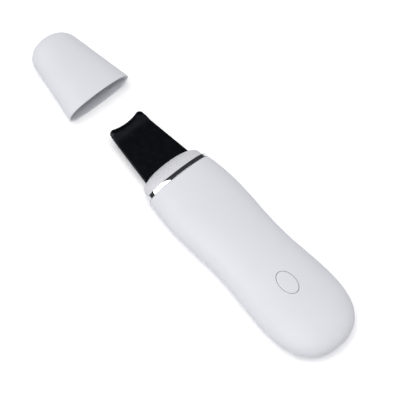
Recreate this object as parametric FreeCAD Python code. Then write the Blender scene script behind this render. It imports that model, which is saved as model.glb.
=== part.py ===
import FreeCAD, Part
import math
import os

from FreeCAD import Vector

# Ultrasonic skin scrubber: a hand-held body with a bent steel blade at the nose and a
# pull-off cap.  Millimetres.  +Y points along the body to the blade, +Z to the button side.
#
# Everything is drawn about the parting plane of the two covers (z = 0) and the plane where
# the trim ring meets the covers (y = 0).  export() then moves it so that the origin is the
# centre of the flat land that the scrubber lies on.

REST_PLANE_Z = -8.2          # the flat land under the rear cover
REST_CENTRE_Y = -57.0        # its middle along the body
ORIGIN_SHIFT = Vector(0, -REST_CENTRE_Y, -REST_PLANE_Z)

# Body outline.  Each row is (distance behind the ring, half width, rise, depth) of the
# section, where rise is above the parting plane and depth is below it.
BODY_STATIONS = (
    (0.0, 19.40, 7.35, 7.35),
    (8.0, 20.65, 7.55, 7.95),
    (18.0, 21.35, 7.70, 8.36),
    (30.0, 21.05, 7.75, 8.45),
    (43.5, 20.25, 7.78, 8.45),
    (57.0, 20.45, 7.83, 8.45),
    (70.5, 21.65, 7.90, 8.45),
    (84.0, 22.50, 7.90, 8.45),
)
BODY_STEPS = 14              # sections along the body before its rounded end
END_LENGTH = 29.2            # from the widest station to the end of the handle
END_POWER = 2.45             # superellipse powers of the end in plan and from the side
END_HEIGHT_POWER = 3.0
END_ANGLES = (0, 10, 20, 30, 40, 50, 60, 70, 79, 85)
FULLNESS_TOP = 0.64          # how full each quarter of a section is; 0.55 is an ellipse
FULLNESS_BOTTOM = 0.69
WALL = 1.4

# The lip that locates one cover in the other
LIP_GAP = 0.12
LIP_THICKNESS = 0.9
LIP_HEIGHT = 1.0
LIP_ROOT = 1.5
LIP_FRONT = -4.0             # where the lip starts behind the ring

# Trim ring and nose collar
RING_GAP = 0.1
RING_LENGTH = 2.2
RING_HALF_WIDTH = 19.45
RING_HALF_HEIGHT = 7.4
SPIGOT_HALF_WIDTH = 17.5
SPIGOT_HALF_HEIGHT = 5.35
SPIGOT_START = -3.0
SPIGOT_GAP = 0.1             # between the spigot and the ring
COLLAR_STATIONS = (
    (2.4, 18.00, 5.85),
    (4.2, 17.95, 5.80),
    (5.6, 17.70, 5.60),
    (6.8, 17.10, 5.20),
    (7.7, 16.20, 4.70),
    (8.6, 14.60, 4.10),
    (9.3, 12.60, 3.50),
    (9.9, 9.80, 2.90),
    (10.3, 6.60, 2.30),
)
COLLAR_WALL = 1.3
COLLAR_BORE_END = 6.2
SLOT_HALF_WIDTH = 14.9
SLOT_HALF_HEIGHT = 1.3

# Blade: one strip of steel with its last part bent up towards the button side
BLADE_THICKNESS = 1.0
BLADE_SLOT_Y = 8.5
BLADE_SLOT_HALF_WIDTH = 14.1
BEND_Y = 33.9
BEND_HALF_WIDTH = 11.1
BEND_ANGLE = 15.0
BEND_RADIUS = 7.0
TIP_LENGTH = 7.3             # from the bend to the tip's corners
TIP_HALF_WIDTH = 10.8
TIP_CORNER_RADIUS = 2.6
TIP_HOLLOW = 1.3             # how deep the tip's edge curves in
TIP_BEVEL_LENGTH = 1.8
TIP_EDGE_THICKNESS = 0.35
TANG_END = -14.0
TANG_HALF_WIDTH = 12.4
TANG_SHOULDER_Y = 6.0
CLAMP_SCREW_X = 8.6
CLAMP_SCREW_Y = -10.0
CLAMP_HOLE_RADIUS = 1.9
TANG_SHOULDER_RUN = 0.6      # length of the slope from the tang to the full width

# Nose frame, clamp bar and their screws
FRAME_HALF_WIDTH = 13.6
FRAME_BACK = -16.0
FRAME_FRONT = -5.0
FRAME_BOTTOM = -4.2
FRAME_POCKET_HALF_WIDTH = 5.6
FRAME_POCKET_WALL = 2.0      # left behind the pocket
FRAME_POCKET_FLOOR = 1.2
FRAME_SCREW_HOLE_END = -3.6
CLAMP_BAR_HALF_WIDTH = 12.4
CLAMP_BAR_HALF_LENGTH = 3.0
CLAMP_BAR_THICKNESS = 1.6
SCREW_SHANK_RADIUS = 0.95
SCREW_HEAD_RADIUS = 1.9
SCREW_HEAD_HEIGHT = 1.2
SCREW_RECESS_RADIUS = 0.75
SCREW_RECESS_DEPTH = 0.6
SCREW_CLEARANCE = 0.05
CLAMP_SCREW_END = -3.4
SLEEVE_OUTER_GAP = 0.05      # between the sleeve and the tang's hole
SLEEVE_INNER_GAP = 0.1       # between the sleeve and the screw

# Ultrasonic transducer: a ceramic disc bonded to each face of the blade's tang
CERAMIC_RADIUS = 5.2
CERAMIC_THICKNESS = 1.0
CERAMIC_Y = -0.4
SEAL_START = 6.3
SEAL_END = 8.4
SEAL_GAP = 0.05              # to the slot outside it and to the blade inside it

# Pull-off cap.  Distances run from its mouth to its closed end.
CAP_MOUTH_Y = 59.75          # where the mouth is at rest, with the cap pulled off
CAP_DROP = 1.0               # how much lower its axis is at rest, so that it lies on the table
CAP_LENGTH = 43.0
CAP_WALL = 0.9
CAP_HALF_WIDTH = 19.30       # at the mouth
CAP_HALF_HEIGHT = 7.15
CAP_TAPER = 0.174            # how much each side draws in per millimetre
CAP_HEIGHT_TAPER = 0.012
CAP_END_START = 34.0
CAP_END_POWER = 2.2
CAP_END_HEIGHT_POWER = 2.6
CAP_STEPS = 8                # sections along the cap before its rounded end
CAP_END_ANGLES = (0, 14, 28, 42, 56, 68, 79, 85)

# Power button and the switch under it
BUTTON_Y = -75.3
BUTTON_HALF_LENGTH = 6.55
BUTTON_HALF_WIDTH = 4.45
BUTTON_GAP = 0.30
BUTTON_FLANGE = 1.1
BUTTON_FLANGE_BOTTOM = 4.7
BUTTON_FLANGE_TOP = 5.7
BUTTON_STEM_RADIUS = 1.5
BUTTON_STEM_BOTTOM = 3.9
BUTTON_TRAVEL = 0.4
SWITCH_HALF_SIZE = 3.0
SWITCH_TOP = 3.1
PLUNGER_RADIUS = 1.6
PLUNGER_BOTTOM = 2.3
PLUNGER_CLEARANCE = 0.08
PLUNGER_ROOM = 0.2           # left under the plunger when it is pressed

# Main board and what stands on it
BOARD_TOP = -0.3
BOARD_THICKNESS = 1.0
BOARD_BOTTOM = BOARD_TOP - BOARD_THICKNESS
BOARD_FRONT = -61.5
BOARD_NECK = -95.0
BOARD_BACK = -108.6
BOARD_HALF_WIDTH = 13.5
BOARD_NECK_HALF_WIDTH = 7.6
BOARD_SCREWS = ((-10.6, -65.5), (10.6, -65.5), (-10.6, -91.5), (10.6, -91.5))
BOSS_RADIUS = 2.1
BOSS_HOLE_RADIUS = 0.8
BOARD_SCREW_LENGTH = 4.5     # how deep the hole in each boss is
BOARD_SCREW_ROOM = 0.6       # left beyond the screw's end
BOARD_HOLE_GAP = 0.2
SOCKET_HALF_WIDTH = 3.75
SOCKET_HEIGHT = 2.5
SOCKET_MOUTH = -109.4
SOCKET_LENGTH = 5.4
SOCKET_SHELL = 0.3
SOCKET_BACK_WALL = 0.8
TONGUE_HALF_WIDTH = 2.45
TONGUE_BOTTOM = 1.2          # its two faces, below the board
TONGUE_TOP = 0.7
TONGUE_RECESS = 0.8          # how far its front edge stands behind the mouth
TONGUE_ROOT = 0.5
PORT_MARGIN = 0.35

# Components on the board: centre x, centre y, width, length and height
POWER_INDUCTOR = (8.2, -79.0, 5.6, 5.6, 2.6)
CONTROLLER_CHIPS = ((0, -67.2, 6.0, 5.0, 1.2), (0, -89.6, 5.0, 4.4, 1.2))
STATUS_LIGHT = (0, -84.5, 1.6, 2.4, 0.9)
BATTERY_PLUG = (0, -62.6, 5.0, 2.2, 2.2)
CHIP_CAPACITOR_SIZE = (1.2, 2.0, 0.8)
CHIP_CAPACITORS_X = {-71.2: (-11.6, -9.6, 9.6, 11.6), -98.6: (-4.5, -1.5, 1.5, 4.5)}
TALL_CAPACITOR = (8.0, -86.2, 1.9)
TALL_CAPACITOR_HEIGHT = 4.2
INDUCTOR_CHAMFER = 0.5

# Step-up transformer: two yokes joined by a leg that runs through the winding
TRANSFORMER_X = -7.5
TRANSFORMER_Y = -79.0
YOKE_OFFSET = 3.6
YOKE_SIZE = (6.4, 1.6, 4.2)
LEG_HALF_WIDTH = 0.9
LEG_BOTTOM = 1.4
LEG_TOP = 3.2
WINDING_HALF_WIDTH = 2.8
WINDING_HALF_LENGTH = 2.7
WINDING_HEIGHT = 4.0
WINDING_GAP = 0.1            # between the winding and the leg

# Battery between the nose frame and the board
BATTERY_BACK = -57.5
BATTERY_FRONT = -20.5
BATTERY_HALF_WIDTH = 10.0
BATTERY_BOTTOM = -5.6
BATTERY_TOP = 2.2
BATTERY_EDGE_RADIUS = 1.4
PAD_THICKNESS = 0.5
PAD_MARGIN = 1.6             # from the battery's sides to the pad's
PAD_END_MARGIN = 2.0
PLINTH_DEPTH = 7.4
PLINTH_MARGIN = 1.5
PLINTH_END_MARGIN = 1.0
STAND_DEPTH = 7.0
STAND_FRONT_MARGIN = 2.0

# Leads
LEAD_RADIUS = 0.55
LEAD_TRIM = 0.45             # how much of each straight run its bend may take
BATTERY_LEAD_X = 1.2         # at the plug
BATTERY_LEAD_SPREAD = 3.2    # how many times further apart they are at the battery
BATTERY_LEAD_Z = -1.6
BATTERY_LEAD_STEPS = (1.4, 2.4, 4.0)    # distances behind the battery
PLUG_LEAD_HEIGHT = 1.1
DISC_LEAD_X = 3.2
DISC_LEAD_BACK = 2.0
DISC_LEAD_RISE = 1.8
BOARD_LEAD_X = 6.6
BOARD_LEAD_INSET = 4.0
# Each transducer lead's way past the clamp and along the battery: x, y, z
TRANSDUCER_LEAD_WAY = (
    (5.0, -8.0, 4.4),
    (10.4, -18.0, 4.2),
    (12.4, -28.5, 2.4),
    (12.6, -43.5, 2.1),
    (12.0, -58.5, 2.2),
    (6.6, -65.5, 2.0),
)


def box(x_range, y_range, z_range):
    size = (x_range[1] - x_range[0], y_range[1] - y_range[0], z_range[1] - z_range[0])
    return Part.makeBox(*size, Vector(x_range[0], y_range[0], z_range[0]))


def post(x, y, radius, z_bottom, z_top):
    return Part.makeCylinder(radius, z_top - z_bottom, Vector(x, y, z_bottom))


def fused(pieces):
    whole = pieces[0].fuse(list(pieces[1:]))
    return whole.removeSplitter()


def section(y, half_width, rise, depth=None):
    """One closed section: four quarter arcs, fuller than an ellipse, square to both axes."""
    lower = rise if depth is None else depth
    ends = (
        Vector(half_width, y, 0),
        Vector(0, y, rise),
        Vector(-half_width, y, 0),
        Vector(0, y, -lower),
    )
    fullness = (FULLNESS_TOP, FULLNESS_TOP, FULLNESS_BOTTOM, FULLNESS_BOTTOM)
    edges = []
    for i, full in enumerate(fullness):
        start, end = ends[i], ends[(i + 1) % 4]
        corner = start + end - Vector(0, y, 0)
        curve = Part.BezierCurve()
        curve.setPoles([start, start + (corner - start) * full, end + (corner - end) * full, end])
        edges.append(curve.toShape())
    return Part.Wire(edges)


def loft(sections):
    return Part.makeLoft(sections, True, False)


def smooth(stations, distance):
    """The stations' sizes at a distance, on a smooth curve that levels out at the last one."""
    last = len(stations) - 1
    i = 0
    while i < last - 1 and distance > stations[i + 1][0]:
        i += 1

    def slope(k, column):
        if k == last:
            return 0
        low, high = max(k - 1, 0), k + 1
        rise = stations[high][column] - stations[low][column]
        return rise / (stations[high][0] - stations[low][0])

    span = stations[i + 1][0] - stations[i][0]
    t = (distance - stations[i][0]) / span
    sizes = []
    for column in range(1, len(stations[0])):
        start, end = stations[i][column], stations[i + 1][column]
        sizes.append(
            (2 * t ** 3 - 3 * t ** 2 + 1) * start
            + (t ** 3 - 2 * t ** 2 + t) * span * slope(i, column)
            + (3 * t ** 2 - 2 * t ** 3) * end
            + (t ** 3 - t ** 2) * span * slope(i + 1, column)
        )
    return sizes


def rounding(fraction, power):
    """How far a rounded end has drawn in, from 1 where it starts to 0 at its tip."""
    return (1 - fraction ** power) ** (1 / power)


def body_form(inset, front=0.0):
    """The solid outer form of the two covers, shrunk by inset on every side."""
    end_start, *end_sizes = BODY_STATIONS[-1]
    rows = [(-front, *BODY_STATIONS[0][1:])] if front else []
    for i in range(BODY_STEPS):
        distance = end_start * i / BODY_STEPS
        rows.append((distance, *smooth(BODY_STATIONS, distance)))
    sections = [
        section(-back, half - inset, rise - inset, depth - inset)
        for back, half, rise, depth in rows
    ]
    half, rise, depth = (size - inset for size in end_sizes)
    for degrees in END_ANGLES:
        fraction = math.sin(math.radians(degrees))
        back = end_start + (END_LENGTH - inset) * fraction
        width = rounding(fraction, END_POWER)
        height = rounding(fraction, END_HEIGHT_POWER)
        sections.append(section(-back, half * width, rise * height, depth * height))
    return loft(sections)


def above(shape):
    return shape.common(box((-40, 40), (-150, 50), (0, 40)))


def below(shape):
    return shape.common(box((-40, 40), (-150, 50), (-40, 0)))


def oval(half_length, half_width, z_bottom, z_top):
    """An oval prism about the button's centre, long along the body."""
    centre = Vector(0, BUTTON_Y, z_bottom)
    ellipse = Part.Ellipse(centre + Vector(0, half_length, 0), centre + Vector(half_width, 0, 0), centre)
    face = Part.Face(Part.Wire(ellipse.toShape()))
    return face.extrude(Vector(0, 0, z_top - z_bottom))


def upper_cover(outer, inner):
    shell = above(outer.cut(inner))
    shell = shell.cut(oval(BUTTON_HALF_LENGTH + BUTTON_GAP, BUTTON_HALF_WIDTH + BUTTON_GAP, 3, 12))
    bosses = fused([post(x, y, BOSS_RADIUS, BOARD_TOP, 12) for x, y in BOARD_SCREWS])
    bosses = bosses.common(outer)
    shell = shell.fuse(bosses).removeSplitter()
    for x, y in BOARD_SCREWS:
        shell = shell.cut(post(x, y, BOSS_HOLE_RADIUS, BOARD_TOP - 1, BOARD_TOP + BOARD_SCREW_LENGTH))
    return shell


def locating_lip():
    """The rib round the rear cover's edge that sits inside the upper cover."""
    lip_outside = body_form(WALL + LIP_GAP)
    lip_inside = body_form(WALL + LIP_GAP + LIP_THICKNESS, front=3.0)
    root_outside = body_form(WALL / 2)
    region = box((-40, 40), (-150, LIP_FRONT), (-LIP_ROOT, LIP_HEIGHT))
    root_region = box((-40, 40), (-150, LIP_FRONT), (-LIP_ROOT, 0))
    rib = lip_outside.cut(lip_inside).common(region)
    root = root_outside.cut(lip_inside).common(root_region)
    return rib.fuse(root).removeSplitter()


def port_opening():
    height = SOCKET_HEIGHT + 2 * PORT_MARGIN
    centre = BOARD_BOTTOM - SOCKET_HEIGHT / 2
    half = SOCKET_HALF_WIDTH + PORT_MARGIN
    return box((-half, half), (-130, BOARD_BACK + 1.5), (centre - height / 2, centre + height / 2))


def rear_cover(outer, inner):
    shell = below(outer.cut(inner))
    shell = shell.cut(box((-40, 40), (-150, 50), (-40, REST_PLANE_Z)))
    plinth_ends = (BATTERY_BACK + PLINTH_END_MARGIN, BATTERY_FRONT - PLINTH_END_MARGIN)
    half = BATTERY_HALF_WIDTH - PLINTH_MARGIN
    plinth = box((-half, half), plinth_ends, (-PLINTH_DEPTH, BATTERY_BOTTOM - PAD_THICKNESS))
    stand = box((-half, half), (FRAME_BACK, FRAME_FRONT - STAND_FRONT_MARGIN), (-STAND_DEPTH, FRAME_BOTTOM))
    shell = shell.fuse([locating_lip(), plinth, stand]).removeSplitter()
    return shell.cut(port_opening())


def trim_ring():
    outside = section(RING_GAP, RING_HALF_WIDTH, RING_HALF_HEIGHT)
    inside = section(RING_GAP, SPIGOT_HALF_WIDTH + SPIGOT_GAP, SPIGOT_HALF_HEIGHT + SPIGOT_GAP)
    band = Part.Face(outside).cut(Part.Face(inside)).Faces[0]
    return band.extrude(Vector(0, RING_LENGTH, 0))


def nose_collar():
    dome = loft([section(y, w, h) for y, w, h in COLLAR_STATIONS])
    spigot = loft([
        section(SPIGOT_START, SPIGOT_HALF_WIDTH, SPIGOT_HALF_HEIGHT),
        section(COLLAR_STATIONS[0][0], SPIGOT_HALF_WIDTH, SPIGOT_HALF_HEIGHT),
    ])
    bore = loft([
        section(SPIGOT_START - 1, SPIGOT_HALF_WIDTH - COLLAR_WALL, SPIGOT_HALF_HEIGHT - COLLAR_WALL),
        section(COLLAR_BORE_END, SPIGOT_HALF_WIDTH - COLLAR_WALL, SPIGOT_HALF_HEIGHT - COLLAR_WALL),
    ])
    half, high = SLOT_HALF_WIDTH, SLOT_HALF_HEIGHT
    slot = box((-half, half), (COLLAR_BORE_END - 1, 20), (-high, high))
    return dome.fuse(spigot).removeSplitter().cut(bore).cut(slot)


def blade_side_profile():
    """The blade seen from the side: a strip that bends up and thins to its edge."""
    half = BLADE_THICKNESS / 2
    bend = math.radians(BEND_ANGLE)
    setback = BEND_RADIUS * math.tan(bend / 2)
    start = BEND_Y - setback
    centre = (start, BEND_RADIUS)
    length = TIP_LENGTH + TIP_CORNER_RADIUS

    def on_arc(radius, angle):
        return Vector(0, centre[0] + radius * math.sin(angle), centre[1] - radius * math.cos(angle))

    along = Vector(0, math.cos(bend), math.sin(bend))
    inner_radius = BEND_RADIUS - half
    outer_radius = BEND_RADIUS + half
    tip_low = on_arc(outer_radius, bend) + along * length
    tip_high = tip_low + Vector(0, -math.sin(bend), math.cos(bend)) * TIP_EDGE_THICKNESS
    bevel = on_arc(inner_radius, bend) + along * (length - TIP_BEVEL_LENGTH)
    edges = [
        Part.LineSegment(Vector(0, TANG_END, -half), on_arc(outer_radius, 0)).toShape(),
        Part.Arc(on_arc(outer_radius, 0), on_arc(outer_radius, bend / 2),
                 on_arc(outer_radius, bend)).toShape(),
        Part.LineSegment(on_arc(outer_radius, bend), tip_low).toShape(),
        Part.LineSegment(tip_low, tip_high).toShape(),
        Part.LineSegment(tip_high, bevel).toShape(),
        Part.LineSegment(bevel, on_arc(inner_radius, bend)).toShape(),
        Part.Arc(on_arc(inner_radius, bend), on_arc(inner_radius, bend / 2),
                 on_arc(inner_radius, 0)).toShape(),
        Part.LineSegment(on_arc(inner_radius, 0), Vector(0, TANG_END, half)).toShape(),
        Part.LineSegment(Vector(0, TANG_END, half), Vector(0, TANG_END, -half)).toShape(),
    ]
    face = Part.Face(Part.Wire(edges))
    face.translate(Vector(-20, 0, 0))
    return face.extrude(Vector(40, 0, 0))


def blade_plan():
    """The blade seen from above: shouldered tang, tapering sides, hollow rounded tip."""
    bend = math.radians(BEND_ANGLE)
    tip_y = BEND_Y + TIP_LENGTH * math.cos(bend)
    corner_y = tip_y - TIP_CORNER_RADIUS
    rounded = TIP_CORNER_RADIUS
    lean = rounded * math.sqrt(0.5)
    right = [
        Vector(TANG_HALF_WIDTH, TANG_END, 0),
        Vector(TANG_HALF_WIDTH, TANG_SHOULDER_Y, 0),
        Vector(BLADE_SLOT_HALF_WIDTH, TANG_SHOULDER_Y + TANG_SHOULDER_RUN, 0),
        Vector(BLADE_SLOT_HALF_WIDTH, BLADE_SLOT_Y, 0),
        Vector(BEND_HALF_WIDTH, BEND_Y, 0),
        Vector(TIP_HALF_WIDTH, corner_y, 0),
    ]
    left = [Vector(-p.x, p.y, 0) for p in right]
    corner = Part.Arc(
        right[-1],
        Vector(TIP_HALF_WIDTH - rounded + lean, corner_y + lean, 0),
        Vector(TIP_HALF_WIDTH - rounded, tip_y, 0),
    )
    opposite = Part.Arc(
        Vector(-(TIP_HALF_WIDTH - rounded), tip_y, 0),
        Vector(-(TIP_HALF_WIDTH - rounded + lean), corner_y + lean, 0),
        left[-1],
    )
    hollow = Part.Arc(
        Vector(TIP_HALF_WIDTH - rounded, tip_y, 0),
        Vector(0, tip_y - TIP_HOLLOW, 0),
        Vector(-(TIP_HALF_WIDTH - rounded), tip_y, 0),
    )
    edges = [Part.LineSegment(a, b).toShape() for a, b in zip(right, right[1:])]
    edges += [corner.toShape(), hollow.toShape(), opposite.toShape()]
    edges += [Part.LineSegment(a, b).toShape() for a, b in zip(left[::-1], left[-2::-1])]
    edges.append(Part.LineSegment(left[0], right[0]).toShape())
    face = Part.Face(Part.Wire(edges))
    face.translate(Vector(0, 0, -10))
    return face.extrude(Vector(0, 0, 30))


def blade():
    shape = blade_side_profile().common(blade_plan())
    for x in (-CLAMP_SCREW_X, CLAMP_SCREW_X):
        shape = shape.cut(post(x, CLAMP_SCREW_Y, CLAMP_HOLE_RADIUS, -5, 5))
    return shape


def blade_seal():
    """The silicone lip that fills the collar's slot round the blade."""
    half, high = SLOT_HALF_WIDTH - SEAL_GAP, SLOT_HALF_HEIGHT - SEAL_GAP
    plug = box((-half, half), (SEAL_START, SEAL_END), (-high, high))
    hole_half = BLADE_SLOT_HALF_WIDTH + SEAL_GAP
    thick = BLADE_THICKNESS / 2 + SEAL_GAP
    return plug.cut(box((-hole_half, hole_half), (0, 20), (-thick, thick)))


def nose_frame():
    thick = BLADE_THICKNESS / 2
    frame = box((-FRAME_HALF_WIDTH, FRAME_HALF_WIDTH), (FRAME_BACK, FRAME_FRONT), (FRAME_BOTTOM, -thick))
    pocket = FRAME_POCKET_HALF_WIDTH
    frame = frame.cut(box((-pocket, pocket), (FRAME_BACK + FRAME_POCKET_WALL, 0),
                          (FRAME_BOTTOM + FRAME_POCKET_FLOOR, 5)))
    for x in (-CLAMP_SCREW_X, CLAMP_SCREW_X):
        frame = frame.cut(post(x, CLAMP_SCREW_Y, SCREW_SHANK_RADIUS + SCREW_CLEARANCE,
                               FRAME_SCREW_HOLE_END, 5))
    return frame


def clamp_bar():
    low = BLADE_THICKNESS / 2
    y_range = (CLAMP_SCREW_Y - CLAMP_BAR_HALF_LENGTH, CLAMP_SCREW_Y + CLAMP_BAR_HALF_LENGTH)
    bar = box((-CLAMP_BAR_HALF_WIDTH, CLAMP_BAR_HALF_WIDTH), y_range, (low, low + CLAMP_BAR_THICKNESS))
    for x in (-CLAMP_SCREW_X, CLAMP_SCREW_X):
        bar = bar.cut(post(x, CLAMP_SCREW_Y, SCREW_SHANK_RADIUS + SCREW_CLEARANCE, -5, 5))
    return bar


def screw(x, y, head_seat, shank_end):
    """A pan-head screw whose head sits on head_seat, with its shank towards shank_end."""
    away = 1 if head_seat > shank_end else -1
    low, high = sorted((head_seat, shank_end))
    shank = post(x, y, SCREW_SHANK_RADIUS if away > 0 else BOSS_HOLE_RADIUS - SCREW_CLEARANCE, low, high)
    head_low, head_high = sorted((head_seat, head_seat + away * SCREW_HEAD_HEIGHT))
    head = post(x, y, SCREW_HEAD_RADIUS, head_low, head_high)
    outer_face = head_seat + away * SCREW_HEAD_HEIGHT
    recess_low, recess_high = sorted((outer_face, outer_face - away * SCREW_RECESS_DEPTH))
    return head.cut(post(x, y, SCREW_RECESS_RADIUS, recess_low, recess_high)).fuse(shank).removeSplitter()


def clamp_screws():
    seat = BLADE_THICKNESS / 2 + CLAMP_BAR_THICKNESS
    return Part.makeCompound([screw(x, CLAMP_SCREW_Y, seat, CLAMP_SCREW_END)
                              for x in (-CLAMP_SCREW_X, CLAMP_SCREW_X)])


def isolation_sleeves():
    """Rubber sleeves that keep the screws off the vibrating tang."""
    half = BLADE_THICKNESS / 2
    sleeves = []
    for x in (-CLAMP_SCREW_X, CLAMP_SCREW_X):
        outside = post(x, CLAMP_SCREW_Y, CLAMP_HOLE_RADIUS - SLEEVE_OUTER_GAP, -half, half)
        inside = post(x, CLAMP_SCREW_Y, SCREW_SHANK_RADIUS + SLEEVE_INNER_GAP, -half, half)
        sleeves.append(outside.cut(inside))
    return Part.makeCompound(sleeves)


def ceramic_discs():
    half = BLADE_THICKNESS / 2
    upper = post(0, CERAMIC_Y, CERAMIC_RADIUS, half, half + CERAMIC_THICKNESS)
    lower = post(0, CERAMIC_Y, CERAMIC_RADIUS, -half - CERAMIC_THICKNESS, -half)
    return Part.makeCompound([upper, lower])


def cap_form(inset):
    """The solid outer form of the cap, shrunk by inset on every side but the mouth."""
    depth = CAP_LENGTH - CAP_END_START - inset
    rows = [(-2.0, 1, 1)] if inset else []
    rows += [(CAP_END_START * i / CAP_STEPS, 1, 1) for i in range(CAP_STEPS)]
    for degrees in CAP_END_ANGLES:
        fraction = math.sin(math.radians(degrees))
        width = rounding(fraction, CAP_END_POWER)
        rows.append((CAP_END_START + depth * fraction, width, rounding(fraction, CAP_END_HEIGHT_POWER)))
    sections = []
    for distance, width, height in rows:
        half = CAP_HALF_WIDTH - CAP_TAPER * distance - inset
        high = CAP_HALF_HEIGHT - CAP_HEIGHT_TAPER * distance - inset
        sections.append(section(CAP_MOUTH_Y + distance, half * width, high * height))
    return loft(sections)


def protective_cap():
    cap = cap_form(0).cut(cap_form(CAP_WALL))
    cap.translate(Vector(0, 0, -CAP_DROP))
    return cap


def power_button(outer):
    key = oval(BUTTON_HALF_LENGTH, BUTTON_HALF_WIDTH, BUTTON_FLANGE_TOP, 12).common(outer)
    flange = oval(BUTTON_HALF_LENGTH + BUTTON_FLANGE, BUTTON_HALF_WIDTH + BUTTON_FLANGE,
                  BUTTON_FLANGE_BOTTOM, BUTTON_FLANGE_TOP)
    stem = post(0, BUTTON_Y, BUTTON_STEM_RADIUS, BUTTON_STEM_BOTTOM, BUTTON_FLANGE_BOTTOM)
    return fused([key, flange, stem])


def switch_plunger():
    return post(0, BUTTON_Y, PLUNGER_RADIUS, PLUNGER_BOTTOM, BUTTON_STEM_BOTTOM)


def switch_body():
    half = SWITCH_HALF_SIZE
    body = box((-half, half), (BUTTON_Y - half, BUTTON_Y + half), (BOARD_TOP, SWITCH_TOP))
    bore_bottom = PLUNGER_BOTTOM - BUTTON_TRAVEL - PLUNGER_ROOM
    return body.cut(post(0, BUTTON_Y, PLUNGER_RADIUS + PLUNGER_CLEARANCE, bore_bottom, 5))


def main_board():
    wide = box((-BOARD_HALF_WIDTH, BOARD_HALF_WIDTH), (BOARD_NECK, BOARD_FRONT), (BOARD_BOTTOM, BOARD_TOP))
    neck = box((-BOARD_NECK_HALF_WIDTH, BOARD_NECK_HALF_WIDTH), (BOARD_BACK, BOARD_NECK),
               (BOARD_BOTTOM, BOARD_TOP))
    board = fused([wide, neck])
    for x, y in BOARD_SCREWS:
        board = board.cut(post(x, y, BOSS_HOLE_RADIUS + BOARD_HOLE_GAP, -5, 5))
    return board


def board_screws():
    shank_end = BOARD_TOP + BOARD_SCREW_LENGTH - BOARD_SCREW_ROOM
    return Part.makeCompound([screw(x, y, BOARD_BOTTOM, shank_end) for x, y in BOARD_SCREWS])


def charging_socket():
    """A small socket under the board's neck, open towards the end of the handle."""
    half, shell = SOCKET_HALF_WIDTH, SOCKET_SHELL
    low, high = BOARD_BOTTOM - SOCKET_HEIGHT, BOARD_BOTTOM
    body = box((-half, half), (SOCKET_MOUTH, SOCKET_MOUTH + SOCKET_LENGTH), (low, high))
    end = SOCKET_MOUTH + SOCKET_LENGTH
    mouth = box((-half + shell, half - shell), (SOCKET_MOUTH - 1, end - SOCKET_BACK_WALL),
                (low + shell, high - shell))
    tongue = box((-TONGUE_HALF_WIDTH, TONGUE_HALF_WIDTH), (SOCKET_MOUTH + TONGUE_RECESS, end - TONGUE_ROOT),
                 (high - TONGUE_BOTTOM, high - TONGUE_TOP))
    return fused([body.cut(mouth), tongue])


def board_block(x, y, width, length, height):
    """A component standing on the board."""
    return box((x - width / 2, x + width / 2), (y - length / 2, y + length / 2),
               (BOARD_TOP, BOARD_TOP + height))


def transformer_core():
    x, y = TRANSFORMER_X, TRANSFORMER_Y
    yokes = [board_block(x, y + side * YOKE_OFFSET, *YOKE_SIZE) for side in (-1, 1)]
    leg = box((x - LEG_HALF_WIDTH, x + LEG_HALF_WIDTH), (y - YOKE_OFFSET, y + YOKE_OFFSET),
              (BOARD_TOP + LEG_BOTTOM, BOARD_TOP + LEG_TOP))
    return fused(yokes + [leg])


def transformer_winding():
    x, y = TRANSFORMER_X, TRANSFORMER_Y
    coil = box((x - WINDING_HALF_WIDTH, x + WINDING_HALF_WIDTH),
               (y - WINDING_HALF_LENGTH, y + WINDING_HALF_LENGTH), (BOARD_TOP, BOARD_TOP + WINDING_HEIGHT))
    window = LEG_HALF_WIDTH + WINDING_GAP
    return coil.cut(box((x - window, x + window), (y - 5, y + 5),
                        (BOARD_TOP + LEG_BOTTOM - WINDING_GAP, BOARD_TOP + LEG_TOP + WINDING_GAP)))


def power_inductor():
    base = board_block(*POWER_INDUCTOR)
    upright = [e for e in base.Edges if abs(e.tangentAt(e.FirstParameter).z) > 0.9]
    return base.makeChamfer(INDUCTOR_CHAMFER, upright)


def controller_chips():
    return Part.makeCompound([board_block(*chip) for chip in CONTROLLER_CHIPS])


def tall_capacitor():
    return post(*TALL_CAPACITOR, BOARD_TOP, BOARD_TOP + TALL_CAPACITOR_HEIGHT)


def chip_capacitors():
    return Part.makeCompound([
        board_block(x, y, *CHIP_CAPACITOR_SIZE) for y, places in CHIP_CAPACITORS_X.items() for x in places
    ])


def status_light():
    return board_block(*STATUS_LIGHT)


def battery_cell():
    cell = box((-BATTERY_HALF_WIDTH, BATTERY_HALF_WIDTH), (BATTERY_BACK, BATTERY_FRONT),
               (BATTERY_BOTTOM, BATTERY_TOP))
    lengthwise = [e for e in cell.Edges if abs(e.tangentAt(e.FirstParameter).y) > 0.9]
    return cell.makeFillet(BATTERY_EDGE_RADIUS, lengthwise)


def battery_pad():
    half = BATTERY_HALF_WIDTH - PAD_MARGIN
    return box((-half, half), (BATTERY_BACK + PAD_END_MARGIN, BATTERY_FRONT - PAD_END_MARGIN),
               (BATTERY_BOTTOM - PAD_THICKNESS, BATTERY_BOTTOM))


def battery_plug():
    return board_block(*BATTERY_PLUG)


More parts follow.
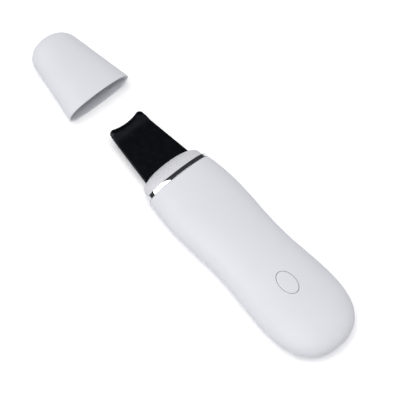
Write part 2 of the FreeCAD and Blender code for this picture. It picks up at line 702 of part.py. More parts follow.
def wire_tube(points, radius=LEAD_RADIUS):
    """A lead along straight runs joined by tangent arcs, each as large as its runs allow."""
    edges = []
    start = points[0]
    for before, corner, after in zip(points, points[1:], points[2:]):
        back = (before - corner).normalize()
        ahead = (after - corner).normalize()
        turn = math.pi - back.getAngle(ahead)
        trim = LEAD_TRIM * min((before - corner).Length, (after - corner).Length)
        bend = trim / math.tan(turn / 2)
        print(f"lead bend radius {bend:.2f} mm")
        enter, leave = corner + back * trim, corner + ahead * trim
        middle_line = (back + ahead).normalize()
        middle = corner + middle_line * (bend / math.cos(turn / 2) - bend)
        edges.append(Part.LineSegment(start, enter).toShape())
        edges.append(Part.Arc(enter, middle, leave).toShape())
        start = leave
    edges.append(Part.LineSegment(start, points[-1]).toShape())
    spine = Part.Wire(edges)
    heading = points[1] - points[0]
    ring = Part.Wire(Part.makeCircle(radius, points[0], heading))
    return spine.makePipeShell([ring], True, False)


def battery_leads():
    top = BOARD_TOP + PLUG_LEAD_HEIGHT
    turn, rise, end = (BATTERY_BACK - step for step in BATTERY_LEAD_STEPS)
    leads = []
    for x in (-BATTERY_LEAD_X, BATTERY_LEAD_X):
        leads.append(wire_tube([
            Vector(BATTERY_LEAD_SPREAD * x, BATTERY_BACK, BATTERY_LEAD_Z),
            Vector(BATTERY_LEAD_SPREAD * x, turn, BATTERY_LEAD_Z),
            Vector(x, rise, top),
            Vector(x, end, top),
        ]))
    return Part.makeCompound(leads)


def transducer_leads():
    """One lead from each ceramic disc, along the side of the battery, to the board."""
    disc_top = BLADE_THICKNESS / 2 + CERAMIC_THICKNESS
    leads = []
    for side in (-1, 1):
        disc_x, disc_y = side * DISC_LEAD_X, CERAMIC_Y - DISC_LEAD_BACK
        leads.append(wire_tube([
            Vector(disc_x, disc_y, disc_top),
            Vector(disc_x, disc_y, disc_top + DISC_LEAD_RISE),
            *(Vector(side * x, y, z) for x, y, z in TRANSDUCER_LEAD_WAY),
            Vector(side * BOARD_LEAD_X, BOARD_FRONT - BOARD_LEAD_INSET, BOARD_TOP),
        ]))
    return Part.makeCompound(leads)


def export(name, shape):
    moved = shape.copy()
    moved.translate(ORIGIN_SHIFT)
    solids = moved.Solids
    print(f"{name}: {len(solids)} solid(s), valid {moved.isValid()}, {moved.Volume:.1f} mm3")
    whole = solids[0] if len(solids) == 1 else Part.makeCompound(solids)
    whole.exportStep(f"parts/{name}.step")


def main():
    os.makedirs("parts", exist_ok=True)
    outer = body_form(0)
    inner = body_form(WALL, front=2.0)
    nodes = {
        "upper_cover": upper_cover(outer, inner),
        "rear_cover": rear_cover(outer, inner),
        "trim_ring": trim_ring(),
        "nose_collar": nose_collar(),
        "blade": blade(),
        "blade_seal": blade_seal(),
        "nose_frame": nose_frame(),
        "clamp_bar": clamp_bar(),
        "clamp_screws": clamp_screws(),
        "isolation_sleeves": isolation_sleeves(),
        "ceramic_discs": ceramic_discs(),
        "protective_cap": protective_cap(),
        "power_button": power_button(outer),
        "switch_plunger": switch_plunger(),
        "switch_body": switch_body(),
        "main_board": main_board(),
        "board_screws": board_screws(),
        "charging_socket": charging_socket(),
        "transformer_core": transformer_core(),
        "transformer_winding": transformer_winding(),
        "power_inductor": power_inductor(),
        "controller_chips": controller_chips(),
        "tall_capacitor": tall_capacitor(),
        "chip_capacitors": chip_capacitors(),
        "status_light": status_light(),
        "battery_cell": battery_cell(),
        "battery_pad": battery_pad(),
        "battery_plug": battery_plug(),
        "battery_leads": battery_leads(),
        "transducer_leads": transducer_leads(),
    }
    for name, shape in nodes.items():
        export(name, shape)


main()
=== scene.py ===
import math

import bmesh
import bpy
from mathutils import Matrix, Vector


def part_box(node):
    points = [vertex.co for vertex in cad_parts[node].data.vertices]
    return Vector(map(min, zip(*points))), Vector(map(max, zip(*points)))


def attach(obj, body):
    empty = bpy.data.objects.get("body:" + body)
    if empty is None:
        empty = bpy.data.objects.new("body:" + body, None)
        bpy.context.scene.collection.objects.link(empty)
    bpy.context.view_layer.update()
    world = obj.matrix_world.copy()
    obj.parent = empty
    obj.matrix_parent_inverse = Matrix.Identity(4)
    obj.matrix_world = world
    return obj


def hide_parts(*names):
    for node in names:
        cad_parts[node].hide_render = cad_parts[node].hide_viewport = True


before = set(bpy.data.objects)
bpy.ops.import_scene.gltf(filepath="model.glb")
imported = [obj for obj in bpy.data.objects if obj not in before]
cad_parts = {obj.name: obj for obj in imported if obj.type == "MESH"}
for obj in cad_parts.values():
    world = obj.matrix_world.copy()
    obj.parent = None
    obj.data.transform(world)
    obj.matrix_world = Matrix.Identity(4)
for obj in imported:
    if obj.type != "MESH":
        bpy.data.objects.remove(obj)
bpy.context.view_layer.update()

bl_info = {
    "name": "Skin scrubber",
    "version": (1, 0, 0),
    "blender": (4, 5, 0),
    "location": "View3D > Sidebar > Scrubber",
    "description": "Builds the looks of an ultrasonic skin scrubber round its fixed frame",
    "category": "Object",
}

# Places are measured in metres from two planes of the frame: the one where the trim ring
# meets the covers (y = 0 here) and the one where the covers part (z = 0 here).
MM = 0.001
RING_LOW, RING_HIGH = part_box("trim_ring")
COVER_LOW, COVER_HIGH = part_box("rear_cover")
CAP_LOW, CAP_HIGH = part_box("protective_cap")
RING_GAP = 0.1 * MM
JOINT_Y = RING_LOW.y - RING_GAP
PARTING_Z = (RING_LOW.z + RING_HIGH.z) / 2
ORIGIN = Vector((0, JOINT_Y, PARTING_Z))
REST_Z = COVER_LOW.z - PARTING_Z
FULLNESS_TOP = 0.64          # how full each quarter of a section is; 0.55 is an ellipse
FULLNESS_BOTTOM = 0.69
QUARTER_STEPS = 36
ROUND_ARC = [math.radians(a) for a in (0, 30, 60, 90)]
FLARE_ARC = [math.radians(a) for a in (0, 20, 40, 60, 75)]
HALVINGS = 30                # steps of a search by halving
MERGE_DISTANCE = 2e-6
TINY = 1e-7


def in_metres(*rows):
    """The rows' millimetres in metres."""
    return [tuple(value * MM for value in row) for row in rows]


# (distance behind the ring, half width, rise above the parting plane, depth below it)
BODY_STATIONS = in_metres(
    (0.0, 19.40, 7.35, 7.35),
    (8.0, 20.65, 7.55, 7.95),
    (18.0, 21.35, 7.70, 8.36),
    (30.0, 21.05, 7.75, 8.45),
    (43.5, 20.25, 7.78, 8.45),
    (57.0, 20.45, 7.83, 8.45),
    (70.5, 21.65, 7.90, 8.45),
    (84.0, 22.50, 7.90, 8.45),
)
END_START = BODY_STATIONS[-1][0]
END_LENGTH = JOINT_Y - COVER_LOW.y - END_START
END_POWER = 2.45             # superellipse powers of the end in plan and from the side
END_HEIGHT_POWER = 3.0

# (distance in front of the covers, half width, half height) of the collar's dome
COLLAR_STATIONS = in_metres(
    (2.4, 18.00, 5.85),
    (4.2, 17.95, 5.80),
    (5.6, 17.70, 5.60),
    (6.8, 17.10, 5.20),
    (7.7, 16.20, 4.70),
    (8.6, 14.60, 4.10),
    (9.3, 12.60, 3.50),
    (9.9, 9.80, 2.90),
    (10.25, 6.60, 2.30),
)
SPIGOT = (17.5 * MM, 5.35 * MM)
SPIGOT_START = -3.0 * MM
COLLAR_WALL = 1.3 * MM
COLLAR_BORE_END = 6.2 * MM
SLOT = (14.9 * MM, 1.3 * MM)
BLADE_SLOT_HALF = 14.1 * MM  # half width of the blade where it passes the slot


def linear(code):
    """An sRGB hex colour as linear red, green and blue."""
    parts = [int(code[i:i + 2], 16) / 255 for i in (1, 3, 5)]
    return tuple(c / 12.92 if c <= 0.04045 else ((c + 0.055) / 1.055) ** 2.4 for c in parts)


def length(name, description, millimetres):
    return bpy.props.FloatProperty(
        name=name, description=description, default=millimetres * MM, min=0,
        unit="LENGTH", subtype="DISTANCE", precision=5)


def colour(name, description, code):
    return bpy.props.FloatVectorProperty(
        name=name, description=description, default=linear(code), size=3, min=0, max=1,
        subtype="COLOR")


def angle(name, description, degrees):
    return bpy.props.FloatProperty(
        name=name, description=description, default=math.radians(degrees),
        unit="ROTATION", subtype="ANGLE")


class ScrubberSizes(bpy.types.PropertyGroup):
    """Sizes that shape the visible pieces."""
    wall: length("Cover wall", "Thickness of the two moulded covers", 1.4)
    parting_round: length("Parting edge", "Rounding where the two covers meet", 0.16)
    row_spacing: length("Row spacing", "Distance between the mesh rows of the covers", 0.75)
    key_length: length("Key half length", "Half the power key's length along the body", 6.42)
    key_width: length("Key half width", "Half the power key's width", 4.32)
    key_gap: length("Key gap", "Clearance round the power key", 0.22)
    key_round: length("Key edge", "Rounding of the key and of its hole", 0.22)
    ring_round: length("Ring edge", "Rounding of the trim ring's edges", 0.15)
    collar_round: length("Slot edge", "Rounding of the collar's slot", 0.35)
    cap_wall: length("Cap wall", "Thickness of the protective cap", 0.9)
    cap_half_width: length("Cap half width", "Half the cap's width at its mouth", 19.30)
    cap_half_height: length("Cap half height", "Half the cap's height at its mouth", 7.15)
    blade_thickness: length("Blade thickness", "Thickness of the steel strip", 1.0)
    blade_round: length("Blade edge", "Rounding along the blade's sides", 0.18)
    blade_bend: angle("Blade bend", "How far the blade's last part is bent up", 15.0)


class ScrubberColours(bpy.types.PropertyGroup):
    """Colours of the visible finishes."""
    shell: colour("Covers", "Moulded covers and power key", "#DBDCE1")
    cap: colour("Cap", "Moulded protective cap", "#D9DADF")
    collar: colour("Collar", "Frosted collar round the blade", "#D5D5DA")
    ring: colour("Trim ring", "Bright plating of the ring", "#DCDDE0")
    blade: colour("Blade", "Black coating of the blade", "#0A0C12")
    seal: colour("Seal", "Dark silicone round the blade", "#1C1C20")
    floor: colour("Floor", "Seamless studio paper", "#F8F8F9")


class ScrubberStudio(bpy.types.PropertyGroup):
    """Camera and light."""
    azimuth: angle("Azimuth", "Where the camera stands round the scrubber", -55.44)
    elevation: angle("Elevation", "How high the camera looks down from", 62.83)
    roll: angle("Roll", "Turn of the camera about its own axis", 14.41)
    distance: length("Distance", "From the camera to the point it aims at", 794.8)
    aim_behind_ring: length("Aim", "How far behind the ring the camera aims", 14.56)
    aim_right: length("Aim to the right", "How far beside the middle the camera aims", 0.38)
    lens: bpy.props.FloatProperty(
        name="Lens", description="Focal length on a 36 mm sensor", default=146.8, unit="CAMERA")
    key_strength: bpy.props.FloatProperty(
        name="Key light", description="Strength of the soft light overhead", default=2.95, min=0)
    key_spread: angle("Key spread", "How wide the soft light looks from the scrubber", 53)
    sheen_strength: bpy.props.FloatProperty(
        name="Sheen light", description="Strength of the small light behind the handle",
        default=0.28, min=0)
    sheen_spread: angle("Sheen spread", "How wide the small light looks from the scrubber", 26)
    fill_strength: bpy.props.FloatProperty(
        name="Fill light", description="Strength of the light from all round", default=0.95, min=0)


# ---------------------------------------------------------------- shapes


def quarter(full, t):
    """A point on a quarter of a section of unit size, from (1, 0) at t = 0 to (0, 1)."""
    a, b = 1 - t, t
    x = a ** 3 + 3 * a * a * b + 3 * a * b * b * full
    z = 3 * a * a * b * full + 3 * a * b * b + b ** 3
    return x, z


def rounding(fraction, power):
    """How far a rounded end has drawn in, from 1 where it starts to 0 at its tip."""
    return max(0.0, 1 - fraction ** power) ** (1 / power)


def smooth(stations, distance):
    """The stations' sizes at a distance, on a smooth curve that levels out at the last one."""
    last = len(stations) - 1
    i = 0
    while i < last - 1 and distance > stations[i + 1][0]:
        i += 1

    def slope(k, column):
        if k == last:
            return 0
        low, high = max(k - 1, 0), k + 1
        rise = stations[high][column] - stations[low][column]
        return rise / (stations[high][0] - stations[low][0])

    span = stations[i + 1][0] - stations[i][0]
    t = (distance - stations[i][0]) / span
    sizes = []
    for column in range(1, len(stations[0])):
        start, end = stations[i][column], stations[i + 1][column]
        sizes.append(
            (2 * t ** 3 - 3 * t ** 2 + 1) * start
            + (t ** 3 - 2 * t ** 2 + t) * span * slope(i, column)
            + (3 * t ** 2 - 2 * t ** 3) * end
            + (t ** 3 - t ** 2) * span * slope(i + 1, column)
        )
    return sizes


def height_at(full, x):
    """The height of a unit quarter section above x, both from 0 to 1."""
    low, high = 0.0, 1.0
    for _ in range(HALVINGS):
        middle = (low + high) / 2
        if quarter(full, middle)[0] > abs(x):
            low = middle
        else:
            high = middle
    return quarter(full, low)[1]


def last_inside(size_at, x, z, full, start, end):
    """The furthest place along the body whose section still holds the point (x, z)."""
    for _ in range(HALVINGS):
        middle = (start + end) / 2
        half_width, height = size_at(middle)
        inside = abs(x) < half_width and abs(z) < height * height_at(full, x / half_width)
        start, end = (middle, end) if inside else (start, middle)
    return start


def body_size(back, inset=0.0):
    """Half width, rise and depth of the body at a distance behind the ring."""
    if back <= END_START:
        return [size - inset for size in smooth(BODY_STATIONS, back)]
    fraction = min(1.0, (back - END_START) / (END_LENGTH - inset))
    half, rise, depth = (size - inset for size in BODY_STATIONS[-1][1:])
    width = rounding(fraction, END_POWER)
    height = rounding(fraction, END_HEIGHT_POWER)
    return [half * width, rise * height, depth * height]


def half_loop(y, half_width, height, full, edge, up):
    """Half a section from its right edge over the middle to its left edge."""
    edge = min(edge, 0.2 * half_width, 0.2 * height)
    points = [(half_width - edge * (1 - math.sin(a)), edge * (1 - math.cos(a)))
              for a in ROUND_ARC[:-1]]
    start = edge / (3 * full * height) if height > TINY else 0
    for j in range(QUARTER_STEPS + 1):
        x, z = quarter(full, start + (1 - start) * j / QUARTER_STEPS)
        points.append((half_width * x, height * z))
    points += [(-x, z) for x, z in points[-2::-1]]
    return [Vector((x, y, up * z)) for x, z in points]


def whole_loop(y, half_width, height, depth=None):
    """A closed section whose upper and lower halves have the covers' fullness."""
    depth = height if depth is None else depth
    top = half_loop(y, half_width, height, FULLNESS_TOP, 0, 1)
    bottom = half_loop(y, half_width, depth, FULLNESS_BOTTOM, 0, -1)
    return top[2:-3] + bottom[:1:-1][:-3]


def ellipse(half_u, half_v, grown=0.0, steps=96):
    return [((half_u + grown) * math.cos(a), (half_v + grown) * math.sin(a))
            for a in (2 * math.pi * i / steps for i in range(steps))]


def rounded_box(half_u, half_v, corner, grown=0.0, steps=7):
    """The outline of a rectangle with round corners, grown outwards by a distance."""
    points = []
    for turn, (su, sv) in enumerate(((1, 1), (-1, 1), (-1, -1), (1, -1))):
        for i in range(steps + 1):
            a = math.pi / 2 * (turn + i / steps)
            points.append((su * (half_u - corner) + (corner + grown) * math.cos(a),
                           sv * (half_v - corner) + (corner + grown) * math.sin(a)))
    return points


def clean(bm):
    """Merge what coincides, drop what has no area and face the surface outwards."""
    bmesh.ops.remove_doubles(bm, verts=bm.verts, dist=MERGE_DISTANCE)
    bmesh.ops.dissolve_degenerate(bm, edges=bm.edges, dist=TINY)
    bmesh.ops.recalc_face_normals(bm, faces=bm.faces)


def as_object(bm, name, sharp=35):
    """A piece at the origin, shaded smooth except over edges sharper than an angle."""
    mesh = bpy.data.meshes.new(name)
    bm.to_mesh(mesh)
    bm.free()
    piece = bpy.data.objects.new(name, mesh)
    bpy.context.scene.collection.objects.link(piece)
    shade(piece, sharp)
    return piece


def shade(piece, sharp=35):
    piece.data.shade_smooth()
    piece.data.set_sharp_from_angle(angle=math.radians(sharp))


def add_skin(bm, rings, ends="open", joined=False):
    """Faces between closed rings of points, with the ends left open or closed.

    "faces" closes both with one face each. "band" closes the first, and "bands" both, with a
    row of faces between the ring's two halves.
    """
    rows = [[bm.verts.new(point + ORIGIN) for point in ring] for ring in rings]
    count = len(rows[0])
    pairs = list(zip(rows, rows[1:]))
    if joined:
        pairs.append((rows[-1], rows[0]))
    for low, high in pairs:
        for j in range(count):
            k = (j + 1) % count
            bm.faces.new((low[j], low[k], high[k], high[j]))
    if ends == "faces":
        bm.faces.new(rows[0])
        bm.faces.new(rows[-1])
    if ends in ("band", "bands"):
        for row in (rows[0], rows[-1])[:1 if ends == "band" else 2]:
            for j in range(count // 2 - 1):
                bm.faces.new((row[j], row[j + 1], row[-j - 2], row[-j - 1]))


def skin(name, rings, ends="open", joined=False, sharp=35):
    bm = bmesh.new()
    add_skin(bm, rings, ends, joined)
    clean(bm)
    return as_object(bm, name, sharp)


def bake(piece):
    """Turn a piece and its modifiers into a plain mesh."""
    graph = bpy.context.evaluated_depsgraph_get()
    mesh = bpy.data.meshes.new_from_object(piece.evaluated_get(graph))
    old = piece.data
    piece.modifiers.clear()
    piece.data = mesh
    mesh.name = piece.name
    bpy.data.meshes.remove(old)
    return piece


def cut_out(piece, cutters):
    """Cut the cutters out of a piece and clean up the result."""
    for cutter in cutters:
        modifier = piece.modifiers.new("cut_out", "BOOLEAN")
        modifier.operation = "DIFFERENCE"
        modifier.solver = "EXACT"
        modifier.object = cutter
    bake(piece)
    for cutter in cutters:
        bpy.data.objects.remove(cutter)
    bm = bmesh.new()
    bm.from_mesh(piece.data)
    bmesh.ops.remove_doubles(bm, verts=bm.verts, dist=MERGE_DISTANCE)
    bmesh.ops.dissolve_degenerate(bm, edges=bm.edges, dist=TINY)
    bm.to_mesh(piece.data)
    bm.free()
    shade(piece)
    return piece


def flared_cutter(outline, surface, place, edge, depth):
    """A cutter whose mouth widens where it leaves the surface, to round off the hole's edge."""
    overshoot, mouth, mouth_rise = 2.0 * MM, 1.4 * edge, 0.9 * edge
    levels = [(0.0, None)]
    levels += [(edge * (1 - math.cos(a)), edge * (1 - math.sin(a))) for a in FLARE_ARC]
    levels += [(mouth, -mouth_rise), (mouth, -overshoot)]
    rings = []
    for grown, drop in levels:
        ring = []
        for u, v in outline(grown):
            level = depth if drop is None else surface(u, v) - drop
            ring.append(place(u, v, level))
        rings.append(ring)
    return skin("cutter", rings, ends="faces")


def post(name, x, y, radius, low, high, steps=32):
    rings = [[Vector((x + u, y + v, z)) for u, v in ellipse(radius, radius, steps=steps)]
             for z in (low, high)]
    return skin(name, rings, ends="faces")


# ---------------------------------------------------------------- finishes


# the Mix node's colour sockets, which share their names with its other sockets
MIX_A, MIX_B, MIX_RESULT = 6, 7, 2


def node(tree, kind, inputs=None, **settings):
    """Add a node, set it up, and fill its sockets with values or with other nodes' outputs."""
    made = tree.nodes.new(kind)
    for name, value in settings.items():
        setattr(made, name, value)
    for socket, value in (inputs or {}).items():
        if isinstance(value, bpy.types.NodeSocket):
            tree.links.new(value, made.inputs[socket])
        else:
            made.inputs[socket].default_value = value
    return made


def new_finish(name):
    """A material with a principled shader, its tree, and its object coordinates."""
    material = bpy.data.materials.new(name)
    material.use_nodes = True
    tree = material.node_tree
    tree.nodes.clear()
    shader = node(tree, "ShaderNodeBsdfPrincipled")
    node(tree, "ShaderNodeOutputMaterial", {"Surface": shader.outputs["BSDF"]})
    coordinates = node(tree, "ShaderNodeTexCoord").outputs["Object"]
    return material, tree, shader, coordinates


def mottle(tree, coordinates, size, low, high, detail=2.0, stretch=(1, 1, 1)):
    """A soft random pattern of a real size, spread between two values."""
    placed = node(tree, "ShaderNodeMapping", {"Vector": coordinates, "Scale": stretch})
    noise = node(tree, "ShaderNodeTexNoise",
                 {"Vector": placed.outputs["Vector"], "Scale": 1 / size, "Detail": detail})
    return node(tree, "ShaderNodeMapRange",
                {"Value": noise.outputs["Fac"], "From Min": 0.3, "From Max": 0.7,
                 "To Min": low, "To Max": high}).outputs["Result"]


def two_tone(tree, shader, factor, first, second):
    """Blend two colours by a pattern into the shader's base colour."""
    mix = node(tree, "ShaderNodeMix", {"Factor": factor, MIX_A: (*first, 1), MIX_B: (*second, 1)},
               data_type="RGBA")
    tree.links.new(mix.outputs[MIX_RESULT], shader.inputs["Base Color"])


def relief(tree, shader, height, distance, strength=1.0):
    """Raise and lower the surface by a pattern, by up to a real distance."""
    bump = node(tree, "ShaderNodeBump",
                {"Height": height, "Distance": distance, "Strength": strength})
    tree.links.new(bump.outputs["Normal"], shader.inputs["Normal"])


def shaded(code, amount):
    """A linear colour made darker, or lighter above 1."""
    return tuple(c * amount for c in code)


def moulded_abs(name, base, rough=0.50):
    """Opaque white ABS from a spark-eroded mould: satin, a hair uneven, no directional grain."""
    material, tree, shader, place = new_finish(name)
    two_tone(tree, shader, mottle(tree, place, 22 * MM, 0, 1), base, shaded(base, 0.975))
    tree.links.new(mottle(tree, place, 3 * MM, rough - 0.03, rough + 0.04, 3),
                   shader.inputs["Roughness"])
    # the real texture is about 0.05 mm across, drawn here at 0.3 mm so that it shows
    relief(tree, shader, mottle(tree, place, 0.3 * MM, 0, 1, 3), 0.004 * MM, 0.6)
    shader.inputs["IOR"].default_value = 1.54
    shader.inputs["Specular IOR Level"].default_value = 0.28
    return material


def frosted_polycarbonate(name, base):
    """Polycarbonate blasted to a frost: light soaks in a little, so its edges glow softly."""
    material, tree, shader, place = new_finish(name)
    two_tone(tree, shader, mottle(tree, place, 1.1 * MM, 0, 1, 4), base, shaded(base, 0.86))
    tree.links.new(mottle(tree, place, 0.8 * MM, 0.5, 0.62, 3), shader.inputs["Roughness"])
    relief(tree, shader, mottle(tree, place, 0.45 * MM, 0, 1, 4), 0.02 * MM, 0.7)
    shader.inputs["IOR"].default_value = 1.585
    shader.inputs["Subsurface Weight"].default_value = 0.25
    shader.inputs["Subsurface Radius"].default_value = (1.0, 1.0, 1.1)
    shader.inputs["Subsurface Scale"].default_value = 0.8 * MM
    return material


def chrome_plate(name, base):
    """Bright chrome over nickel on a moulded ring: a mirror with faint polishing haze."""
    material, tree, shader, place = new_finish(name)
    two_tone(tree, shader, mottle(tree, place, 6 * MM, 0, 1), base, shaded(base, 0.94))
    tree.links.new(mottle(tree, place, 0.5 * MM, 0.03, 0.07, 4, (1, 6, 1)),
                   shader.inputs["Roughness"])
    relief(tree, shader, mottle(tree, place, 5 * MM, 0, 1, 1), 0.001 * MM, 0.5)
    shader.inputs["Metallic"].default_value = 1.0
    return material


def coated_steel(name, base):
    """Ground stainless strip with a black vacuum coating: dark, with a soft metallic sheen."""
    material, tree, shader, place = new_finish(name)
    # grinding lines run along the blade; real ones are 0.02 mm apart, drawn at 0.15 mm
    lines = mottle(tree, place, 0.15 * MM, 0, 1, 3, (1, 0.02, 1))
    two_tone(tree, shader, lines, base, shaded(base, 1.5))
    tree.links.new(mottle(tree, place, 2.5 * MM, 0.22, 0.28, 3), shader.inputs["Roughness"])
    relief(tree, shader, lines, 0.0015 * MM, 0.5)
    shader.inputs["Metallic"].default_value = 0.7
    return material


def silicone(name, base):
    """Dark moulded silicone: matt, slightly dusty, with a fine even texture."""
    material, tree, shader, place = new_finish(name)
    two_tone(tree, shader, mottle(tree, place, 2 * MM, 0, 1, 4), base, shaded(base, 1.35))
    tree.links.new(mottle(tree, place, 1 * MM, 0.55, 0.7, 3), shader.inputs["Roughness"])
    relief(tree, shader, mottle(tree, place, 0.25 * MM, 0, 1, 3), 0.01 * MM, 0.6)
    shader.inputs["IOR"].default_value = 1.41
    return material


def plain_plastic(name, base, rough, grain=0.3 * MM):
    """Moulded technical plastic: even colour, satin, with the mould's fine grain."""
    material, tree, shader, place = new_finish(name)
    two_tone(tree, shader, mottle(tree, place, 5 * MM, 0, 1, 3), base, shaded(base, 0.85))
    tree.links.new(mottle(tree, place, 1.5 * MM, rough - 0.06, rough + 0.06, 3),
                   shader.inputs["Roughness"])
    relief(tree, shader, mottle(tree, place, grain, 0, 1, 3), 0.008 * MM, 0.6)
    shader.inputs["IOR"].default_value = 1.5
    return material


def bare_metal(name, base, rough, streak=(1, 1, 1), grain=0.4 * MM):
    """Worked metal: bright, with streaks or spots left by rolling, turning or plating."""
    material, tree, shader, place = new_finish(name)
    marks = mottle(tree, place, grain, 0, 1, 4, streak)
    two_tone(tree, shader, marks, base, shaded(base, 0.8))
    tree.links.new(mottle(tree, place, 1.2 * MM, rough - 0.05, rough + 0.08, 3),
                   shader.inputs["Roughness"])
    relief(tree, shader, marks, 0.003 * MM, 0.6)
    shader.inputs["Metallic"].default_value = 1.0
    return material


def circuit_laminate(name, mask, copper):
    """Glass-epoxy board under green mask: copper tracks show as paler raised bands."""
    material, tree, shader, place = new_finish(name)
    cells = node(tree, "ShaderNodeTexVoronoi", {"Vector": place, "Scale": 1 / (2.6 * MM)},
                 distance="MANHATTAN", feature="F1")
    tracks = node(tree, "ShaderNodeMapRange",
                  {"Value": cells.outputs["Distance"], "From Min": 0.42, "From Max": 0.46,
                   "To Min": 0, "To Max": 1}).outputs["Result"]
    two_tone(tree, shader, tracks, mask, copper)
    tree.links.new(mottle(tree, place, 1 * MM, 0.25, 0.35, 2), shader.inputs["Roughness"])
    relief(tree, shader, tracks, 0.035 * MM, 0.8)
    shader.inputs["IOR"].default_value = 1.5
    return material


def wound_wire(name, base, turn=0.5 * MM):
    """Enamelled copper wire wound side by side: round turns with painted dark shade between them.
    """
    material, tree, shader, place = new_finish(name)
    turns_and_painted_shade = node(tree, "ShaderNodeTexWave", {"Vector": place, "Scale": 1 / (20 * turn),
                                             "Distortion": 0.3, "Detail": 1.0},
                 wave_type="BANDS", bands_direction="Y", wave_profile="SIN").outputs["Fac"]
    # the dark lines between the turns, and the darkening towards them, are painted shade
    two_tone(tree, shader, turns_and_painted_shade, shaded(base, 0.35), base)
    tree.links.new(mottle(tree, place, 1 * MM, 0.25, 0.4, 2), shader.inputs["Roughness"])
    relief(tree, shader, turns_and_painted_shade, 0.1 * MM, 1.0)
    shader.inputs["Metallic"].default_value = 0.8
    return material


def battery_foil(name, base):
    """Aluminium laminate pouch: dull silver, soft creases from the filling, with painted shade in
    them.
    """
    material, tree, shader, place = new_finish(name)
    creases_and_painted_shade = mottle(tree, place, 5 * MM, 0, 1, 4, (1, 0.4, 1))
    # the colour darkens with the creases: painted shade
    two_tone(tree, shader, creases_and_painted_shade, base, shaded(base, 0.8))
    tree.links.new(mottle(tree, place, 2 * MM, 0.3, 0.45, 3), shader.inputs["Roughness"])
    relief(tree, shader, creases_and_painted_shade, 0.12 * MM, 0.7)
    shader.inputs["Metallic"].default_value = 0.9
    return material


def clear_lens(name, base):
    """Cast clear epoxy: glassy, with a milky tint from the diffuser in it."""
    material, tree, shader, place = new_finish(name)
    two_tone(tree, shader, mottle(tree, place, 0.8 * MM, 0, 1), base, shaded(base, 0.9))
    tree.links.new(mottle(tree, place, 0.5 * MM, 0.08, 0.15, 2), shader.inputs["Roughness"])
    relief(tree, shader, mottle(tree, place, 0.6 * MM, 0, 1, 2), 0.004 * MM, 0.5)
    shader.inputs["IOR"].default_value = 1.52
    shader.inputs["Transmission Weight"].default_value = 0.5
    return material


def studio_paper(name, base):
    """Seamless background paper: matt white with a barely visible fibre."""
    material, tree, shader, place = new_finish(name)
    two_tone(tree, shader, mottle(tree, place, 60 * MM, 0, 1, 3), base, shaded(base, 0.99))
    shader.inputs["Roughness"].default_value = 0.9
    shader.inputs["Specular IOR Level"].default_value = 0.15
    # lit a little from below, so that shadows on it stay faint
    shader.inputs["Emission Color"].default_value = (1, 1, 1, 1)
    shader.inputs["Emission Strength"].default_value = 0.15
    relief(tree, shader, mottle(tree, place, 1.5 * MM, 0, 1, 3), 0.02 * MM, 0.3)
    return material


FINISHES = {}


def make_finishes(colours):
    """Every finish, by the name of the record's material slot."""
    FINISHES.update({
        "white_shell": moulded_abs("satin_white_moulded_abs", colours.shell),
        "white_cap": moulded_abs("satin_white_moulded_abs_cap", colours.cap, 0.52),
        "white_key": moulded_abs("satin_white_moulded_abs_key", colours.shell, 0.48),
        "frosted_collar": frosted_polycarbonate("frosted_polycarbonate", colours.collar),
        "polished_ring": chrome_plate("bright_chrome_plate", colours.ring),
        "black_blade": coated_steel("black_coated_ground_steel", colours.blade),
        "dark_silicone": silicone("dark_moulded_silicone", colours.seal),
        "frame_plastic": plain_plastic("glass_filled_nylon", linear("#B9B7AE"), 0.5),
        "black_plastic": plain_plastic("black_moulded_plastic", linear("#17171A"), 0.42),
        "steel": bare_metal("zinc_plated_steel", linear("#C9CACC"), 0.28),
        "silvered_ceramic": bare_metal("fired_silver_on_ceramic", linear("#D8D4CB"), 0.45),
        "board": circuit_laminate("green_masked_laminate", linear("#0F5132"), linear("#1F7A4C")),
        "ferrite": plain_plastic("sintered_ferrite", linear("#2B2B2E"), 0.6, 0.15 * MM),
        "winding": wound_wire("enamelled_copper_wire", linear("#B8622F")),
        "capacitor_can": bare_metal("drawn_aluminium_can", linear("#C4C6CA"), 0.3, (1, 1, 0.05)),
        "clear_lens": clear_lens("cast_clear_epoxy", linear("#F2F4F7")),
        "battery_foil": battery_foil("aluminium_laminate_foil", linear("#BFC2C6")),
        "lead_sleeve": silicone("pvc_lead_sleeve", linear("#8E1F1F")),
        "gold_contact": bare_metal("gold_plated_contact", linear("#E3B95C"), 0.22),
        "tan_ceramic": plain_plastic("fired_tan_ceramic", linear("#8B6F4E"), 0.4),
    })


def finish_piece(piece, body, slot, *stands_for, finish=None):
    """Give a piece the finish of its slot, or the one named instead, put it in its body, and hide
    the frame's nodes that it stands for.
    """
    piece.data.materials.clear()
    piece.data.materials.append(FINISHES[finish or slot])
    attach(piece, body)
    if stands_for:
        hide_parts(*stands_for)
    return piece


# ---------------------------------------------------------------- repeated pieces


